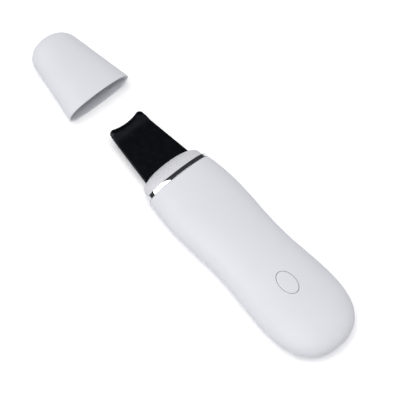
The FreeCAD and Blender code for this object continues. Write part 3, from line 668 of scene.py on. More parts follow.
def rows_and_columns_tree():
    """A node tree that sets a piece out in rows and columns about the origin."""
    tree = bpy.data.node_groups.new("rows_and_columns", "GeometryNodeTree")
    sockets = {}
    for label, kind in (("Piece", "NodeSocketObject"), ("Across", "NodeSocketFloat"),
                        ("Along", "NodeSocketFloat"), ("Columns", "NodeSocketInt"),
                        ("Rows", "NodeSocketInt"), ("Finish", "NodeSocketMaterial")):
        item = tree.interface.new_socket(name=label, in_out="INPUT", socket_type=kind)
        sockets[label] = item.identifier
    tree.interface.new_socket(name="Geometry", in_out="OUTPUT", socket_type="NodeSocketGeometry")
    given = node(tree, "NodeGroupInput").outputs
    grid = node(tree, "GeometryNodeMeshGrid",
                {"Size X": given["Across"], "Size Y": given["Along"],
                 "Vertices X": given["Columns"], "Vertices Y": given["Rows"]})
    shape = node(tree, "GeometryNodeObjectInfo", {"Object": given["Piece"]})
    spread = node(tree, "GeometryNodeInstanceOnPoints",
                  {"Points": grid.outputs["Mesh"], "Instance": shape.outputs["Geometry"]})
    real = node(tree, "GeometryNodeRealizeInstances", {"Geometry": spread.outputs["Instances"]})
    coat = node(tree, "GeometryNodeSetMaterial",
                {"Geometry": real.outputs["Geometry"], "Material": given["Finish"]})
    node(tree, "NodeGroupOutput", {"Geometry": coat.outputs["Geometry"]})
    return tree, sockets


def set_out(name, pattern, centre, across, along, columns, rows, slot, sharp=35):
    """Repeat a pattern piece in rows and columns about a centre, as one plain mesh."""
    tree, sockets = rows_and_columns_tree()
    holder = bpy.data.objects.new(name, bpy.data.meshes.new(name))
    bpy.context.scene.collection.objects.link(holder)
    modifier = holder.modifiers.new("rows_and_columns", "NODES")
    modifier.node_group = tree
    values = {"Piece": pattern, "Across": across, "Along": along,
              "Columns": columns, "Rows": rows, "Finish": FINISHES[slot]}
    for label, value in values.items():
        modifier[sockets[label]] = value
    bake(holder)
    holder.data.transform(Matrix.Translation(centre))
    bpy.data.objects.remove(pattern)
    bpy.data.node_groups.remove(tree)
    shade(holder, sharp)
    return holder


def lathe(name, profile, steps=28):
    """A turned shape about the Z axis at the frame's origin, from (radius, height) points."""
    rings = [[Vector((r * math.cos(a), r * math.sin(a), z)) - ORIGIN
              for a in (2 * math.pi * i / steps for i in range(steps))] for r, z in profile]
    return skin(name, rings)


def block(name, half_x, half_y, low, high, corner, edge):
    """A block with round corners and softened edges, at the frame's origin."""
    levels = ((low, edge), (low + edge, 0), (high - edge, 0), (high, edge))
    rings = [[Vector((u, v, z)) - ORIGIN
              for u, v in rounded_box(half_x - inset, half_y - inset, corner, steps=3)]
             for z, inset in levels]
    return skin(name, rings, ends="faces")


def screw_pattern(shank, head, head_height, shank_length, up):
    """A pan-head screw with a driver recess; its head points up (1) or down (-1)."""
    pitch, point, plain_end, rim = 0.35 * MM, 0.3 * MM, 0.5 * MM, 0.1 * MM
    core = shank * 0.82
    flat = head * 0.62           # radius of the head's flatter middle
    profile = [(0, -shank_length), (shank * 0.4, -shank_length)]
    threads = int((shank_length - plain_end) / pitch)
    for i in range(threads):
        start = -shank_length + point + i * pitch
        profile += [(core, start), (shank, start + pitch / 2)]
    profile += [(core, 0), (head * 0.98, 0), (head, rim)]
    dome = head_height - rim
    for degrees in (20, 45, 70):
        a = math.radians(degrees)
        profile.append((flat + (head - flat) * math.cos(a), rim + dome * math.sin(a)))
    recess = ((0.42, 0), (0.34, 0.5 * MM), (0, 0.6 * MM))
    profile += [(head * share, head_height - depth) for share, depth in recess]
    return lathe("screw_pattern", [(r, up * z) for r, z in profile])


# ---------------------------------------------------------------- operators


class OBJECT_OT_scrubber_covers(bpy.types.Operator):
    """Make the upper and rear covers as shells with a fine parting line"""
    bl_idname = "object.scrubber_covers"
    bl_label = "Covers"

    END_DEGREES = (*range(0, 72, 2), *range(72, 91, 1))     # closer rows towards the tip
    KEY_HOLE_FLOOR = 3.0 * MM
    PORT_MARGIN, PORT_CORNER, PORT_EDGE = 0.35 * MM, 0.9 * MM, 0.3 * MM
    PORT_START = 23.0 * MM       # from the widest station

    def cover(self, name, full, up, sizes):
        edge, wall = sizes.parting_round, sizes.wall
        fronts = [(edge * (1 - math.cos(a)), edge * (1 - math.sin(a))) for a in ROUND_ARC]
        steps = round(END_START / sizes.row_spacing)
        backs = [(END_START * i / steps, 0.0) for i in range(1, steps)]
        rows = [(back, shrink, back) for back, shrink in fronts + backs]
        for degrees in self.END_DEGREES:
            fraction = math.sin(math.radians(degrees))
            rows.append((END_START + END_LENGTH * fraction, 0.0,
                         END_START + (END_LENGTH - wall) * fraction))
        rings = []
        for back, shrink, inner_back in rows:
            half, rise, depth = body_size(back, shrink)
            height = rise if up > 0 else depth
            outside = half_loop(-back, half, height, full, edge, up)
            half, rise, depth = body_size(inner_back, wall)
            height = rise if up > 0 else depth
            inside = half_loop(-inner_back, half, height, full, 0, up)
            rings.append(outside + inside[::-1])
        return skin(name, rings, ends="band", sharp=30)

    def execute(self, context):
        sizes = context.scene.scrubber_sizes
        upper = self.cover("upper_shell", FULLNESS_TOP, 1, sizes)
        key_y = key_centre()

        def hole(grown):
            gap = sizes.key_gap + grown
            return [(u, v + key_y) for u, v in ellipse(sizes.key_width, sizes.key_length, gap)]

        cutter = flared_cutter(hole, crown, lambda u, v, w: Vector((u, v, w)),
                               sizes.key_round, self.KEY_HOLE_FLOOR)
        cut_out(upper, [cutter])
        finish_piece(upper, "housing", "white_shell", "upper_cover")

        rear = self.cover("rear_shell", FULLNESS_BOTTOM, -1, sizes)
        bm = bmesh.new()
        bm.from_mesh(rear.data)
        cut = bmesh.ops.bisect_plane(
            bm, geom=bm.verts[:] + bm.edges[:] + bm.faces[:], dist=TINY,
            plane_co=(0, 0, PARTING_Z + REST_Z), plane_no=(0, 0, -1), clear_outer=True)
        rim = [e for e in cut["geom_cut"] if isinstance(e, bmesh.types.BMEdge)]
        bmesh.ops.edgeloop_fill(bm, edges=rim)
        bm.to_mesh(rear.data)
        bm.free()
        low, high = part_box("charging_socket")
        centre = (low + high) / 2 - ORIGIN
        half_x = (high.x - low.x) / 2 + self.PORT_MARGIN
        half_z = (high.z - low.z) / 2 + self.PORT_MARGIN

        def opening(grown):
            return [(u, v + centre.z)
                    for u, v in rounded_box(half_x, half_z, self.PORT_CORNER, grown)]

        cutter = flared_cutter(opening, handle_end, lambda u, v, w: Vector((u, -w, v)),
                               self.PORT_EDGE, END_START + self.PORT_START)
        cut_out(rear, [cutter])
        finish_piece(rear, "housing", "white_shell", "rear_cover")
        return {"FINISHED"}


def key_centre():
    """Where the power key's middle is behind the ring, as a place along Y."""
    low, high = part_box("power_button")
    return (low.y + high.y) / 2 - JOINT_Y


def crown(x, y):
    """Height of the upper cover's outer surface."""
    half, rise, _ = body_size(-y)
    return rise * height_at(FULLNESS_TOP, min(1, abs(x) / half))


def handle_end(x, z):
    """How far behind the ring the lower half of the handle's end reaches at a point."""
    def size_at(back):
        half, _, depth = body_size(back)
        return half, depth
    return last_inside(size_at, x, z, FULLNESS_BOTTOM, END_START, END_START + END_LENGTH)


class OBJECT_OT_scrubber_key(bpy.types.Operator):
    """Make the oval power key, flush with the upper cover, with its flange and stem"""
    bl_idname = "object.scrubber_key"
    bl_label = "Power key"

    FLANGE, FLANGE_LOW, FLANGE_HIGH = 1.23 * MM, 4.7 * MM, 5.7 * MM
    STEM, STEM_LOW = 1.5 * MM, 3.9 * MM
    TOP_RINGS = 12

    def execute(self, context):
        sizes = context.scene.scrubber_sizes
        key_y, stem = key_centre(), self.STEM
        long, wide, edge = sizes.key_length, sizes.key_width, sizes.key_round

        def level(half_u, half_v, z):
            return [Vector((u, v + key_y, z)) for u, v in ellipse(half_u, half_v)]

        rings = [level(0, 0, self.STEM_LOW), level(stem, stem, self.STEM_LOW),
                 level(stem, stem, self.FLANGE_LOW),
                 level(wide + self.FLANGE, long + self.FLANGE, self.FLANGE_LOW),
                 level(wide + self.FLANGE, long + self.FLANGE, self.FLANGE_HIGH),
                 level(wide, long, self.FLANGE_HIGH)]
        for a in ROUND_ARC:
            shrink, drop = edge * (1 - math.cos(a)), edge * (1 - math.sin(a))
            rings.append([Vector((u, v + key_y, crown(u, v + key_y) - drop))
                          for u, v in ellipse(wide, long, -shrink)])
        for i in range(self.TOP_RINGS - 1, -1, -1):
            part = i / self.TOP_RINGS
            rings.append([Vector((u, v + key_y, crown(u, v + key_y)))
                          for u, v in ellipse((wide - edge) * part, (long - edge) * part)])
        piece = skin("power_key", rings)
        finish_piece(piece, "button", "white_key", "power_button")
        return {"FINISHED"}


class OBJECT_OT_scrubber_ring(bpy.types.Operator):
    """Make the plated trim ring by sweeping a rounded band round the nose"""
    bl_idname = "object.scrubber_ring"
    bl_label = "Trim ring"

    SPIGOT_GAP = 0.1 * MM
    QUARTER_POINTS, EDGE_POINTS = 48, 5
    WELD_DISTANCE = 0.01 * MM

    def tree(self):
        tree = bpy.data.node_groups.new("swept_ring", "GeometryNodeTree")
        sockets = {}
        for label in ("Half Width", "Half Height", "Fullness Top", "Fullness Bottom",
                      "Band Thickness", "Band Length", "Edge Radius"):
            item = tree.interface.new_socket(name=label, in_out="INPUT",
                                             socket_type="NodeSocketFloat")
            sockets[label] = item.identifier
        item = tree.interface.new_socket(name="Finish", in_out="INPUT",
                                         socket_type="NodeSocketMaterial")
        sockets["Finish"] = item.identifier
        tree.interface.new_socket(name="Geometry", in_out="OUTPUT",
                                  socket_type="NodeSocketGeometry")
        given = node(tree, "NodeGroupInput").outputs
        join = node(tree, "GeometryNodeJoinGeometry")
        # the four quarters run the same way round, each from one axis to the next
        for side_x, side_y in ((1, 1), (-1, 1), (-1, -1), (1, -1)):
            full = given["Fullness Top" if side_y > 0 else "Fullness Bottom"]
            wide, high = (
                node(tree, "ShaderNodeMath", {0: given[label], 1: float(side)},
                     operation="MULTIPLY").outputs["Value"]
                for label, side in (("Half Width", side_x), ("Half Height", side_y)))
            less_wide, less_high = (
                node(tree, "ShaderNodeMath", {0: size, 1: full},
                     operation="MULTIPLY").outputs["Value"] for size in (wide, high))
            on_x, by_x, by_y, on_y = (
                node(tree, "ShaderNodeCombineXYZ", {"X": x, "Y": y}).outputs["Vector"]
                for x, y in ((wide, 0.0), (wide, less_high), (less_wide, high), (0.0, high)))
            ends = (on_x, by_x, by_y, on_y) if side_x * side_y > 0 else (on_y, by_y, by_x, on_x)
            segment = node(tree, "GeometryNodeCurvePrimitiveBezierSegment",
                           {"Resolution": self.QUARTER_POINTS, "Start": ends[0],
                            "Start Handle": ends[1], "End Handle": ends[2], "End": ends[3]},
                           mode="POSITION")
            tree.links.new(segment.outputs["Curve"], join.inputs["Geometry"])
        path = node(tree, "GeometryNodeSetCurveNormal", {"Curve": join.outputs["Geometry"]},
                    mode="Z_UP")
        band = node(tree, "GeometryNodeCurvePrimitiveQuadrilateral",
                    {"Width": given["Band Thickness"], "Height": given["Band Length"]})
        round_off = node(tree, "GeometryNodeFilletCurve",
                         {"Curve": band.outputs["Curve"], "Radius": given["Edge Radius"],
                          "Count": self.EDGE_POINTS, "Limit Radius": True}, mode="POLY")
        sweep = node(tree, "GeometryNodeCurveToMesh",
                     {"Curve": path.outputs["Curve"], "Profile Curve": round_off.outputs["Curve"]})
        weld = node(tree, "GeometryNodeMergeByDistance",
                    {"Geometry": sweep.outputs["Mesh"], "Distance": self.WELD_DISTANCE})
        real = node(tree, "GeometryNodeRealizeInstances", {"Geometry": weld.outputs["Geometry"]})
        coat = node(tree, "GeometryNodeSetMaterial",
                    {"Geometry": real.outputs["Geometry"], "Material": given["Finish"]})
        node(tree, "NodeGroupOutput", {"Geometry": coat.outputs["Geometry"]})
        return tree, sockets

    def execute(self, context):
        sizes = context.scene.scrubber_sizes
        half_width, half_height = RING_HIGH.x, (RING_HIGH.z - RING_LOW.z) / 2
        thickness = half_width - SPIGOT[0] - self.SPIGOT_GAP
        band_length = RING_HIGH.y - RING_LOW.y
        tree, sockets = self.tree()
        piece = bpy.data.objects.new("plated_ring", bpy.data.meshes.new("plated_ring"))
        context.scene.collection.objects.link(piece)
        modifier = piece.modifiers.new("swept_ring", "NODES")
        modifier.node_group = tree
        values = {
            "Half Width": half_width - thickness / 2, "Half Height": half_height - thickness / 2,
            "Fullness Top": FULLNESS_TOP, "Fullness Bottom": FULLNESS_BOTTOM,
            "Band Thickness": thickness, "Band Length": band_length,
            "Edge Radius": sizes.ring_round, "Finish": FINISHES["polished_ring"],
        }
        for label, value in values.items():
            modifier[sockets[label]] = value
        bake(piece)
        if not piece.data.polygons:
            raise RuntimeError("the trim ring came out empty")
        upright = Matrix.Rotation(math.pi / 2, 4, "X")
        middle = Vector((0, (RING_LOW.y + RING_HIGH.y) / 2, PARTING_Z))
        piece.data.transform(Matrix.Translation(middle) @ upright)
        bm = bmesh.new()
        bm.from_mesh(piece.data)
        clean(bm)
        bm.to_mesh(piece.data)
        bm.free()
        bpy.data.node_groups.remove(tree)
        shade(piece, 40)
        finish_piece(piece, "housing", "polished_ring", "trim_ring")
        return {"FINISHED"}


def collar_rows():
    """The dome's (place along Y, half width, half height) rows, spread evenly along its curve."""
    indexed = [(float(i), *row) for i, row in enumerate(COLLAR_STATIONS)]
    last = len(COLLAR_STATIONS) - 1
    steps = 8 * last
    return [smooth(indexed, last * i / steps) for i in range(steps + 1)]


def collar_front(x, z):
    """Place along Y of the dome's surface at a point of its front view."""
    rows = collar_rows()

    def size_at(y):
        for low, high in zip(rows, rows[1:]):
            if high[0] >= y:
                part = (y - low[0]) / max(TINY, high[0] - low[0])
                return low[1] + (high[1] - low[1]) * part, low[2] + (high[2] - low[2]) * part
        return rows[-1][1:]
    return last_inside(size_at, x, z, FULLNESS_TOP, rows[0][0], rows[-1][0])


class OBJECT_OT_scrubber_collar(bpy.types.Operator):
    """Make the frosted collar with its blade slot, and the silicone seal inside the slot"""
    bl_idname = "object.scrubber_collar"
    bl_label = "Nose collar"

    FRONT_RISE, FRONT_SHARE = 0.03 * MM, 0.9      # of the last, nearly flat part of the dome
    SLOT_CORNER = 0.6 * MM
    SEAL_CORNER, SEAL_BORE_CORNER, SEAL_EDGE = 0.55 * MM, 0.2 * MM, 0.25 * MM
    SEAL_GAP = 0.03 * MM

    def execute(self, context):
        sizes = context.scene.scrubber_sizes
        bore = [size - COLLAR_WALL for size in SPIGOT]
        rows = collar_rows()
        front = rows[-1]
        rings = [whole_loop(COLLAR_BORE_END, 0, 0), whole_loop(COLLAR_BORE_END, *bore),
                 whole_loop(SPIGOT_START, *bore), whole_loop(SPIGOT_START, *SPIGOT),
                 whole_loop(rows[0][0], *SPIGOT)]
        rings += [whole_loop(y, half, high) for y, half, high in rows]
        rings += [whole_loop(front[0] + self.FRONT_RISE, front[1] * share, front[2] * share)
                  for share in (self.FRONT_SHARE, 0)]
        collar = skin("frosted_nose", rings)

        def slot(grown):
            return rounded_box(*SLOT, self.SLOT_CORNER, grown, steps=6)

        cutter = flared_cutter(slot, collar_front, lambda u, v, w: Vector((u, w, v)),
                               sizes.collar_round, 0.0)
        cut_out(collar, [cutter])
        finish_piece(collar, "housing", "frosted_collar", "nose_collar")

        low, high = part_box("blade_seal")
        back, lip = low.y - JOINT_Y, high.y - JOINT_Y
        outer = (high.x, (high.z - low.z) / 2, self.SEAL_CORNER)
        inner = (BLADE_SLOT_HALF + self.SEAL_GAP, sizes.blade_thickness / 2 + self.SEAL_GAP,
                 self.SEAL_BORE_CORNER)
        soft = self.SEAL_EDGE
        profile = [(outer, 0, back), (outer, 0, lip - soft)]
        profile += [(outer, -soft * (1 - math.cos(a)), lip - soft * (1 - math.sin(a)))
                    for a in ROUND_ARC[1:]]
        profile += [(inner, soft * (1 - math.cos(a)) / 2, lip - soft * (1 - math.sin(a)))
                    for a in ROUND_ARC[:0:-1]]
        profile += [(inner, 0, lip - soft), (inner, 0, back)]
        rings = [[Vector((u, y, v)) for u, v in rounded_box(*outline, grown)]
                 for outline, grown, y in profile]
        seal = skin("slot_seal", rings, joined=True)
        finish_piece(seal, "housing", "dark_silicone", "blade_seal")
        return {"FINISHED"}


class OBJECT_OT_scrubber_blade(bpy.types.Operator):
    """Make the bent blade with its hollow tip, rounded sides and bevelled edge"""
    bl_idname = "object.scrubber_blade"
    bl_label = "Blade"

    TANG_END, TANG_HALF = -14.0 * MM, 12.4 * MM
    SHOULDER, SHOULDER_RUN, SHOULDER_HALF = 6.0 * MM, 0.6 * MM, BLADE_SLOT_HALF
    SLOT_Y, BEND_Y, BEND_HALF = 8.5 * MM, 33.9 * MM, 11.1 * MM
    BEND_RADIUS = 7.0 * MM
    TIP_LENGTH, TIP_HALF = 7.3 * MM, 10.8 * MM
    CORNER, HOLLOW = 2.6 * MM, 1.3 * MM
    BEVEL, EDGE = 1.8 * MM, 0.35 * MM
    HOLES = (8.6 * MM, -10.0 * MM, 1.9 * MM)
    HOLE_REACH = 3.0 * MM        # of the holes' cutters above and below the strip's middle
    COLUMNS, STRIP_ROWS, TIP_ROWS = 30, 40, 16
    NECK_SHARE = 0.30            # of the tip's length, where the rows start to follow its outline
    CORNER_SHARE = 0.2           # of each half's columns, spent on the tip's corner

    def half_width(self, y):
        if y < self.SHOULDER:
            return self.TANG_HALF
        if y < self.SHOULDER + self.SHOULDER_RUN:
            part = (y - self.SHOULDER) / self.SHOULDER_RUN
            return self.TANG_HALF + (self.SHOULDER_HALF - self.TANG_HALF) * part
        if y < self.SLOT_Y:
            return self.SHOULDER_HALF
        if y < self.BEND_Y:
            part = (y - self.SLOT_Y) / (self.BEND_Y - self.SLOT_Y)
            return self.SHOULDER_HALF + (self.BEND_HALF - self.SHOULDER_HALF) * part
        part = (y - self.BEND_Y) / (self.TIP_LENGTH - self.CORNER)
        return self.BEND_HALF + (self.TIP_HALF - self.BEND_HALF) * min(1, part)

    def tip_outline(self, across):
        """The tip's outline: (x, distance past the bend), for across from -1 to 1."""
        flat = self.TIP_HALF - self.CORNER
        side = abs(across)
        if side > 1 - self.CORNER_SHARE:
            turn = math.pi / 2 * (1 - side) / self.CORNER_SHARE
            x = flat + self.CORNER * math.cos(turn)
            s = self.TIP_LENGTH - self.CORNER + self.CORNER * math.sin(turn)
        else:
            x = flat * side / (1 - self.CORNER_SHARE)
            s = self.TIP_LENGTH - self.HOLLOW * (1 - (x / flat) ** 2)
        return math.copysign(x, across), s

    def bent(self, x, s, lift, bend):
        """A point at a distance s along the strip and a lift above its middle."""
        setback = self.BEND_RADIUS * math.tan(bend / 2)
        start = self.BEND_Y - setback
        turned = min(bend, max(0, (s - start) / self.BEND_RADIUS))
        beyond = max(0, s - start - bend * self.BEND_RADIUS)
        radius = self.BEND_RADIUS - lift
        y = min(s, start) + radius * math.sin(turned) + beyond * math.cos(turned)
        z = self.BEND_RADIUS - radius * math.cos(turned) + beyond * math.sin(turned)
        return Vector((x, y, z))

    def execute(self, context):
        sizes = context.scene.scrubber_sizes
        half, edge, bend = sizes.blade_thickness / 2, sizes.blade_round, sizes.blade_bend
        # across runs from -1 to 1, with closer columns where the sides are rounded
        inner = [2 * j / self.COLUMNS - 1 for j in range(1, self.COLUMNS)]
        stations = [self.TANG_END, self.SHOULDER, self.SHOULDER + self.SHOULDER_RUN, self.SLOT_Y]
        strip = self.BEND_Y + self.TIP_LENGTH * self.NECK_SHARE - self.SLOT_Y
        stations += [self.SLOT_Y + strip * i / self.STRIP_ROWS
                     for i in range(1, self.STRIP_ROWS + 1)]
        neck = stations[-1]
        rows = [(s, 0.0) for s in stations]
        rows += [(neck, i / self.TIP_ROWS) for i in range(1, self.TIP_ROWS + 1)]
        rings = []
        for s, blend in rows:
            top, bottom = [], []
            side = [(-1, a) for a in ROUND_ARC] + [(u, None) for u in inner]
            side += [(1, a) for a in reversed(ROUND_ARC)]
            for across, a in side:
                width = self.half_width(s)
                x_tip, s_tip = self.tip_outline(across)
                x = width * across * (1 - blend) + x_tip * blend
                along = s * (1 - blend) + (self.BEND_Y + s_tip) * blend
                left = (1 - blend) * (self.BEND_Y + s_tip - s)
                high = half - (2 * half - self.EDGE) * max(0, 1 - left / self.BEVEL)
                drop = 0.0
                if a is not None:
                    x -= math.copysign(edge * (1 - math.cos(a)), across)
                    drop = min(edge, (high + half) / 3) * (1 - math.sin(a))
                top.append(self.bent(x, along, high - drop, bend))
                bottom.append(self.bent(x, along, drop - half, bend))
            rings.append(top + bottom[::-1])
        piece = skin("coated_blade", rings, ends="bands", sharp=25)
        x, y, radius = self.HOLES
        holes = [post("hole", side * x, y, radius, -self.HOLE_REACH, self.HOLE_REACH)
                 for side in (-1, 1)]
        cut_out(piece, holes)
        shade(piece, 25)
        finish_piece(piece, "housing", "black_blade", "blade")
        return {"FINISHED"}


class OBJECT_OT_scrubber_cap(bpy.types.Operator):
    """Make the pull-off cap as a tapering shell with a rounded rim and end"""
    bl_idname = "object.scrubber_cap"
    bl_label = "Protective cap"

    TAPER, HEIGHT_TAPER = 0.174, 0.012
    END_START, END_POWER, END_HEIGHT_POWER = 34.0 * MM, 2.2, 2.6
    END_DEGREES = (*range(0, 72, 3), *range(72, 91, 2))     # closer rows towards the tip
    SIDE_ROWS, RIM_STEPS = 45, 8
    RIM_SHARE = 0.8              # length of the rim's rounding against half the wall

    def execute(self, context):
        sizes = context.scene.scrubber_sizes
        mouth, wall = CAP_LOW.y - JOINT_Y, sizes.cap_wall
        whole = CAP_HIGH.y - CAP_LOW.y
        drop = Vector((0, 0, (CAP_LOW.z + CAP_HIGH.z) / 2 - PARTING_Z))

        def loops(inset):
            depth = whole - self.END_START - inset
            rows = [(self.END_START * i / self.SIDE_ROWS, 1, 1) for i in range(1, self.SIDE_ROWS)]
            for degrees in self.END_DEGREES:
                fraction = math.sin(math.radians(degrees))
                rows.append((self.END_START + depth * fraction,
                             rounding(fraction, self.END_POWER),
                             rounding(fraction, self.END_HEIGHT_POWER)))
            return [loop(distance, inset, width, height) for distance, width, height in rows]

        def loop(distance, inset, width=1, height=1):
            half = sizes.cap_half_width - self.TAPER * distance - inset
            high = sizes.cap_half_height - self.HEIGHT_TAPER * distance - inset
            points = whole_loop(mouth + distance, half * width, high * height)
            return [point + drop for point in points]

        rim = [loop(wall / 2 * (1 - math.sin(a)) * self.RIM_SHARE, wall / 2 * (1 - math.cos(a)))
               for a in (math.pi * i / self.RIM_STEPS for i in range(self.RIM_STEPS + 1))]
        piece = skin("pull_off_cap", loops(0)[::-1] + rim + loops(wall))
        finish_piece(piece, "cap", "white_cap", "protective_cap")
        return {"FINISHED"}


class OBJECT_OT_scrubber_socket(bpy.types.Operator):
    """Make the charging socket's steel shell, its tongue and its row of contacts"""
    bl_idname = "object.scrubber_socket"
    bl_label = "Charging socket"

    WALL, CORNER, FLOOR = 0.3 * MM, 0.75 * MM, 0.4 * MM
    LIP_START, LIP, LIP_DEPTH = 0.08 * MM, 0.1 * MM, 0.25 * MM
    TONGUE_TOP, TONGUE_BOTTOM, TONGUE_SIDE = 0.7 * MM, 1.2 * MM, 1.3 * MM     # inside the shell
    TONGUE_START, TONGUE_END = 0.8 * MM, 0.45 * MM
    TONGUE_CORNER, TONGUE_CHAMFER = 0.15 * MM, 0.12 * MM
    CONTACT_LENGTH, CONTACT_HALF_WIDTH, CONTACT_START = 2.6 * MM, 0.2 * MM, 0.35 * MM
    CONTACT_SPAN, CONTACTS = 2.6 * MM, 5

    def execute(self, context):
        low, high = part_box("charging_socket")
        centre = (low + high) / 2
        half_x, half_z = (high.x - low.x) / 2, (high.z - low.z) / 2
        mouth, back = low.y - JOINT_Y, high.y - JOINT_Y
        z = centre.z - PARTING_Z
        floor = back - self.FLOOR
        profile = [(0, mouth + self.LIP_START), (0, back), (None, back), (None, floor),
                   (-self.WALL, floor), (-self.WALL, mouth + self.LIP_DEPTH),
                   (-self.WALL * 0.6, mouth), (-self.LIP, mouth)]
        rings = []
        for grown, y in profile:
            scale = 0 if grown is None else 1
            rings.append([Vector((u * scale, y, z + v * scale))
                          for u, v in rounded_box(half_x, half_z, self.CORNER, grown or 0)])
        shell = skin("socket_shell", rings, joined=True)
        finish_piece(shell, "housing", "black_plastic", "charging_socket", finish="steel")

        tongue_low, tongue_high = half_z - self.TONGUE_BOTTOM, half_z - self.TONGUE_TOP
        tongue_half = half_x - self.TONGUE_SIDE
        tongue_y = (mouth + self.TONGUE_START, back - self.TONGUE_END)
        rings = []
        middle = z + (tongue_low + tongue_high) / 2
        thin = (tongue_high - tongue_low) / 2
        for y, grown in ((tongue_y[0], -self.TONGUE_CHAMFER),
                         (tongue_y[0] + self.TONGUE_CORNER, 0), (tongue_y[1], 0)):
            rings.append([Vector((u, y, middle + v)) for u, v in
                          rounded_box(tongue_half, thin, self.TONGUE_CORNER, grown)])
        tongue = skin("socket_tongue", rings, ends="faces")
        finish_piece(tongue, "housing", "black_plastic", "charging_socket")
        half = self.CONTACT_LENGTH / 2
        pattern = block("contact_pattern", self.CONTACT_HALF_WIDTH, half, -0.09 * MM, 0.03 * MM,
                        0.04 * MM, 0.03 * MM)
        place = Vector((0, tongue_y[0] + self.CONTACT_START + half, z + tongue_low))
        contacts = set_out("socket_contacts", pattern, place + ORIGIN, self.CONTACT_SPAN, 0,
                           self.CONTACTS, 1, "gold_contact")
        finish_piece(contacts, "housing", "black_plastic", "charging_socket",
                     finish="gold_contact")
        return {"FINISHED"}


class OBJECT_OT_scrubber_fasteners(bpy.types.Operator):
    """Make the board's screws and the blade clamp's screws in rows and columns"""
    bl_idname = "object.scrubber_fasteners"
    bl_label = "Screws"

    HEAD, HEAD_HEIGHT = 1.9 * MM, 1.2 * MM
    # (node, name, where the head points, shank radius, columns, rows)
    SETS = (("board_screws", "cover_screws", -1, 0.75 * MM, 2, 2),
            ("clamp_screws", "blade_screws", 1, 0.95 * MM, 2, 1))

    def execute(self, context):
        head, head_height = self.HEAD, self.HEAD_HEIGHT
        for node_name, name, up, shank, columns, rows in self.SETS:
            low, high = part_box(node_name)
            seat = low.z + head_height if up < 0 else high.z - head_height
            shank_length = (high.z - low.z) - head_height
            pattern = screw_pattern(shank, head, head_height, shank_length, up)
            centre = (low + high) / 2
            centre.z = seat
            across = high.x - low.x - 2 * head
            along = high.y - low.y - 2 * head
            piece = set_out(name, pattern, centre, across, along, columns, rows, "steel")
            finish_piece(piece, "housing", "steel", node_name)
        return {"FINISHED"}


class OBJECT_OT_scrubber_insides(bpy.types.Operator):
    """Give the parts inside the housing the finishes of their real materials"""
    bl_idname = "object.scrubber_insides"
    bl_label = "Inside parts"

    FINISH_OF = {
        "nose_frame": "frame_plastic", "clamp_bar": "steel", "isolation_sleeves": "dark_silicone",
        "ceramic_discs": "silvered_ceramic", "switch_plunger": "black_plastic",
        "switch_body": "black_plastic", "main_board": "board", "transformer_core": "ferrite",
        "transformer_winding": "winding", "power_inductor": "ferrite",
        "controller_chips": "black_plastic", "tall_capacitor": "capacitor_can",
        "chip_capacitors": "tan_ceramic", "status_light": "clear_lens",
        "battery_cell": "battery_foil", "battery_pad": "dark_silicone",
        "battery_plug": "frame_plastic", "battery_leads": "lead_sleeve",
        "transducer_leads": "lead_sleeve",
    }

    def execute(self, context):
        for name, finish in self.FINISH_OF.items():
            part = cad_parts[name]
            if not part.material_slots:
                part.data.materials.append(FINISHES[finish])
            for place in part.material_slots:
                place.material = FINISHES[finish]
        return {"FINISHED"}


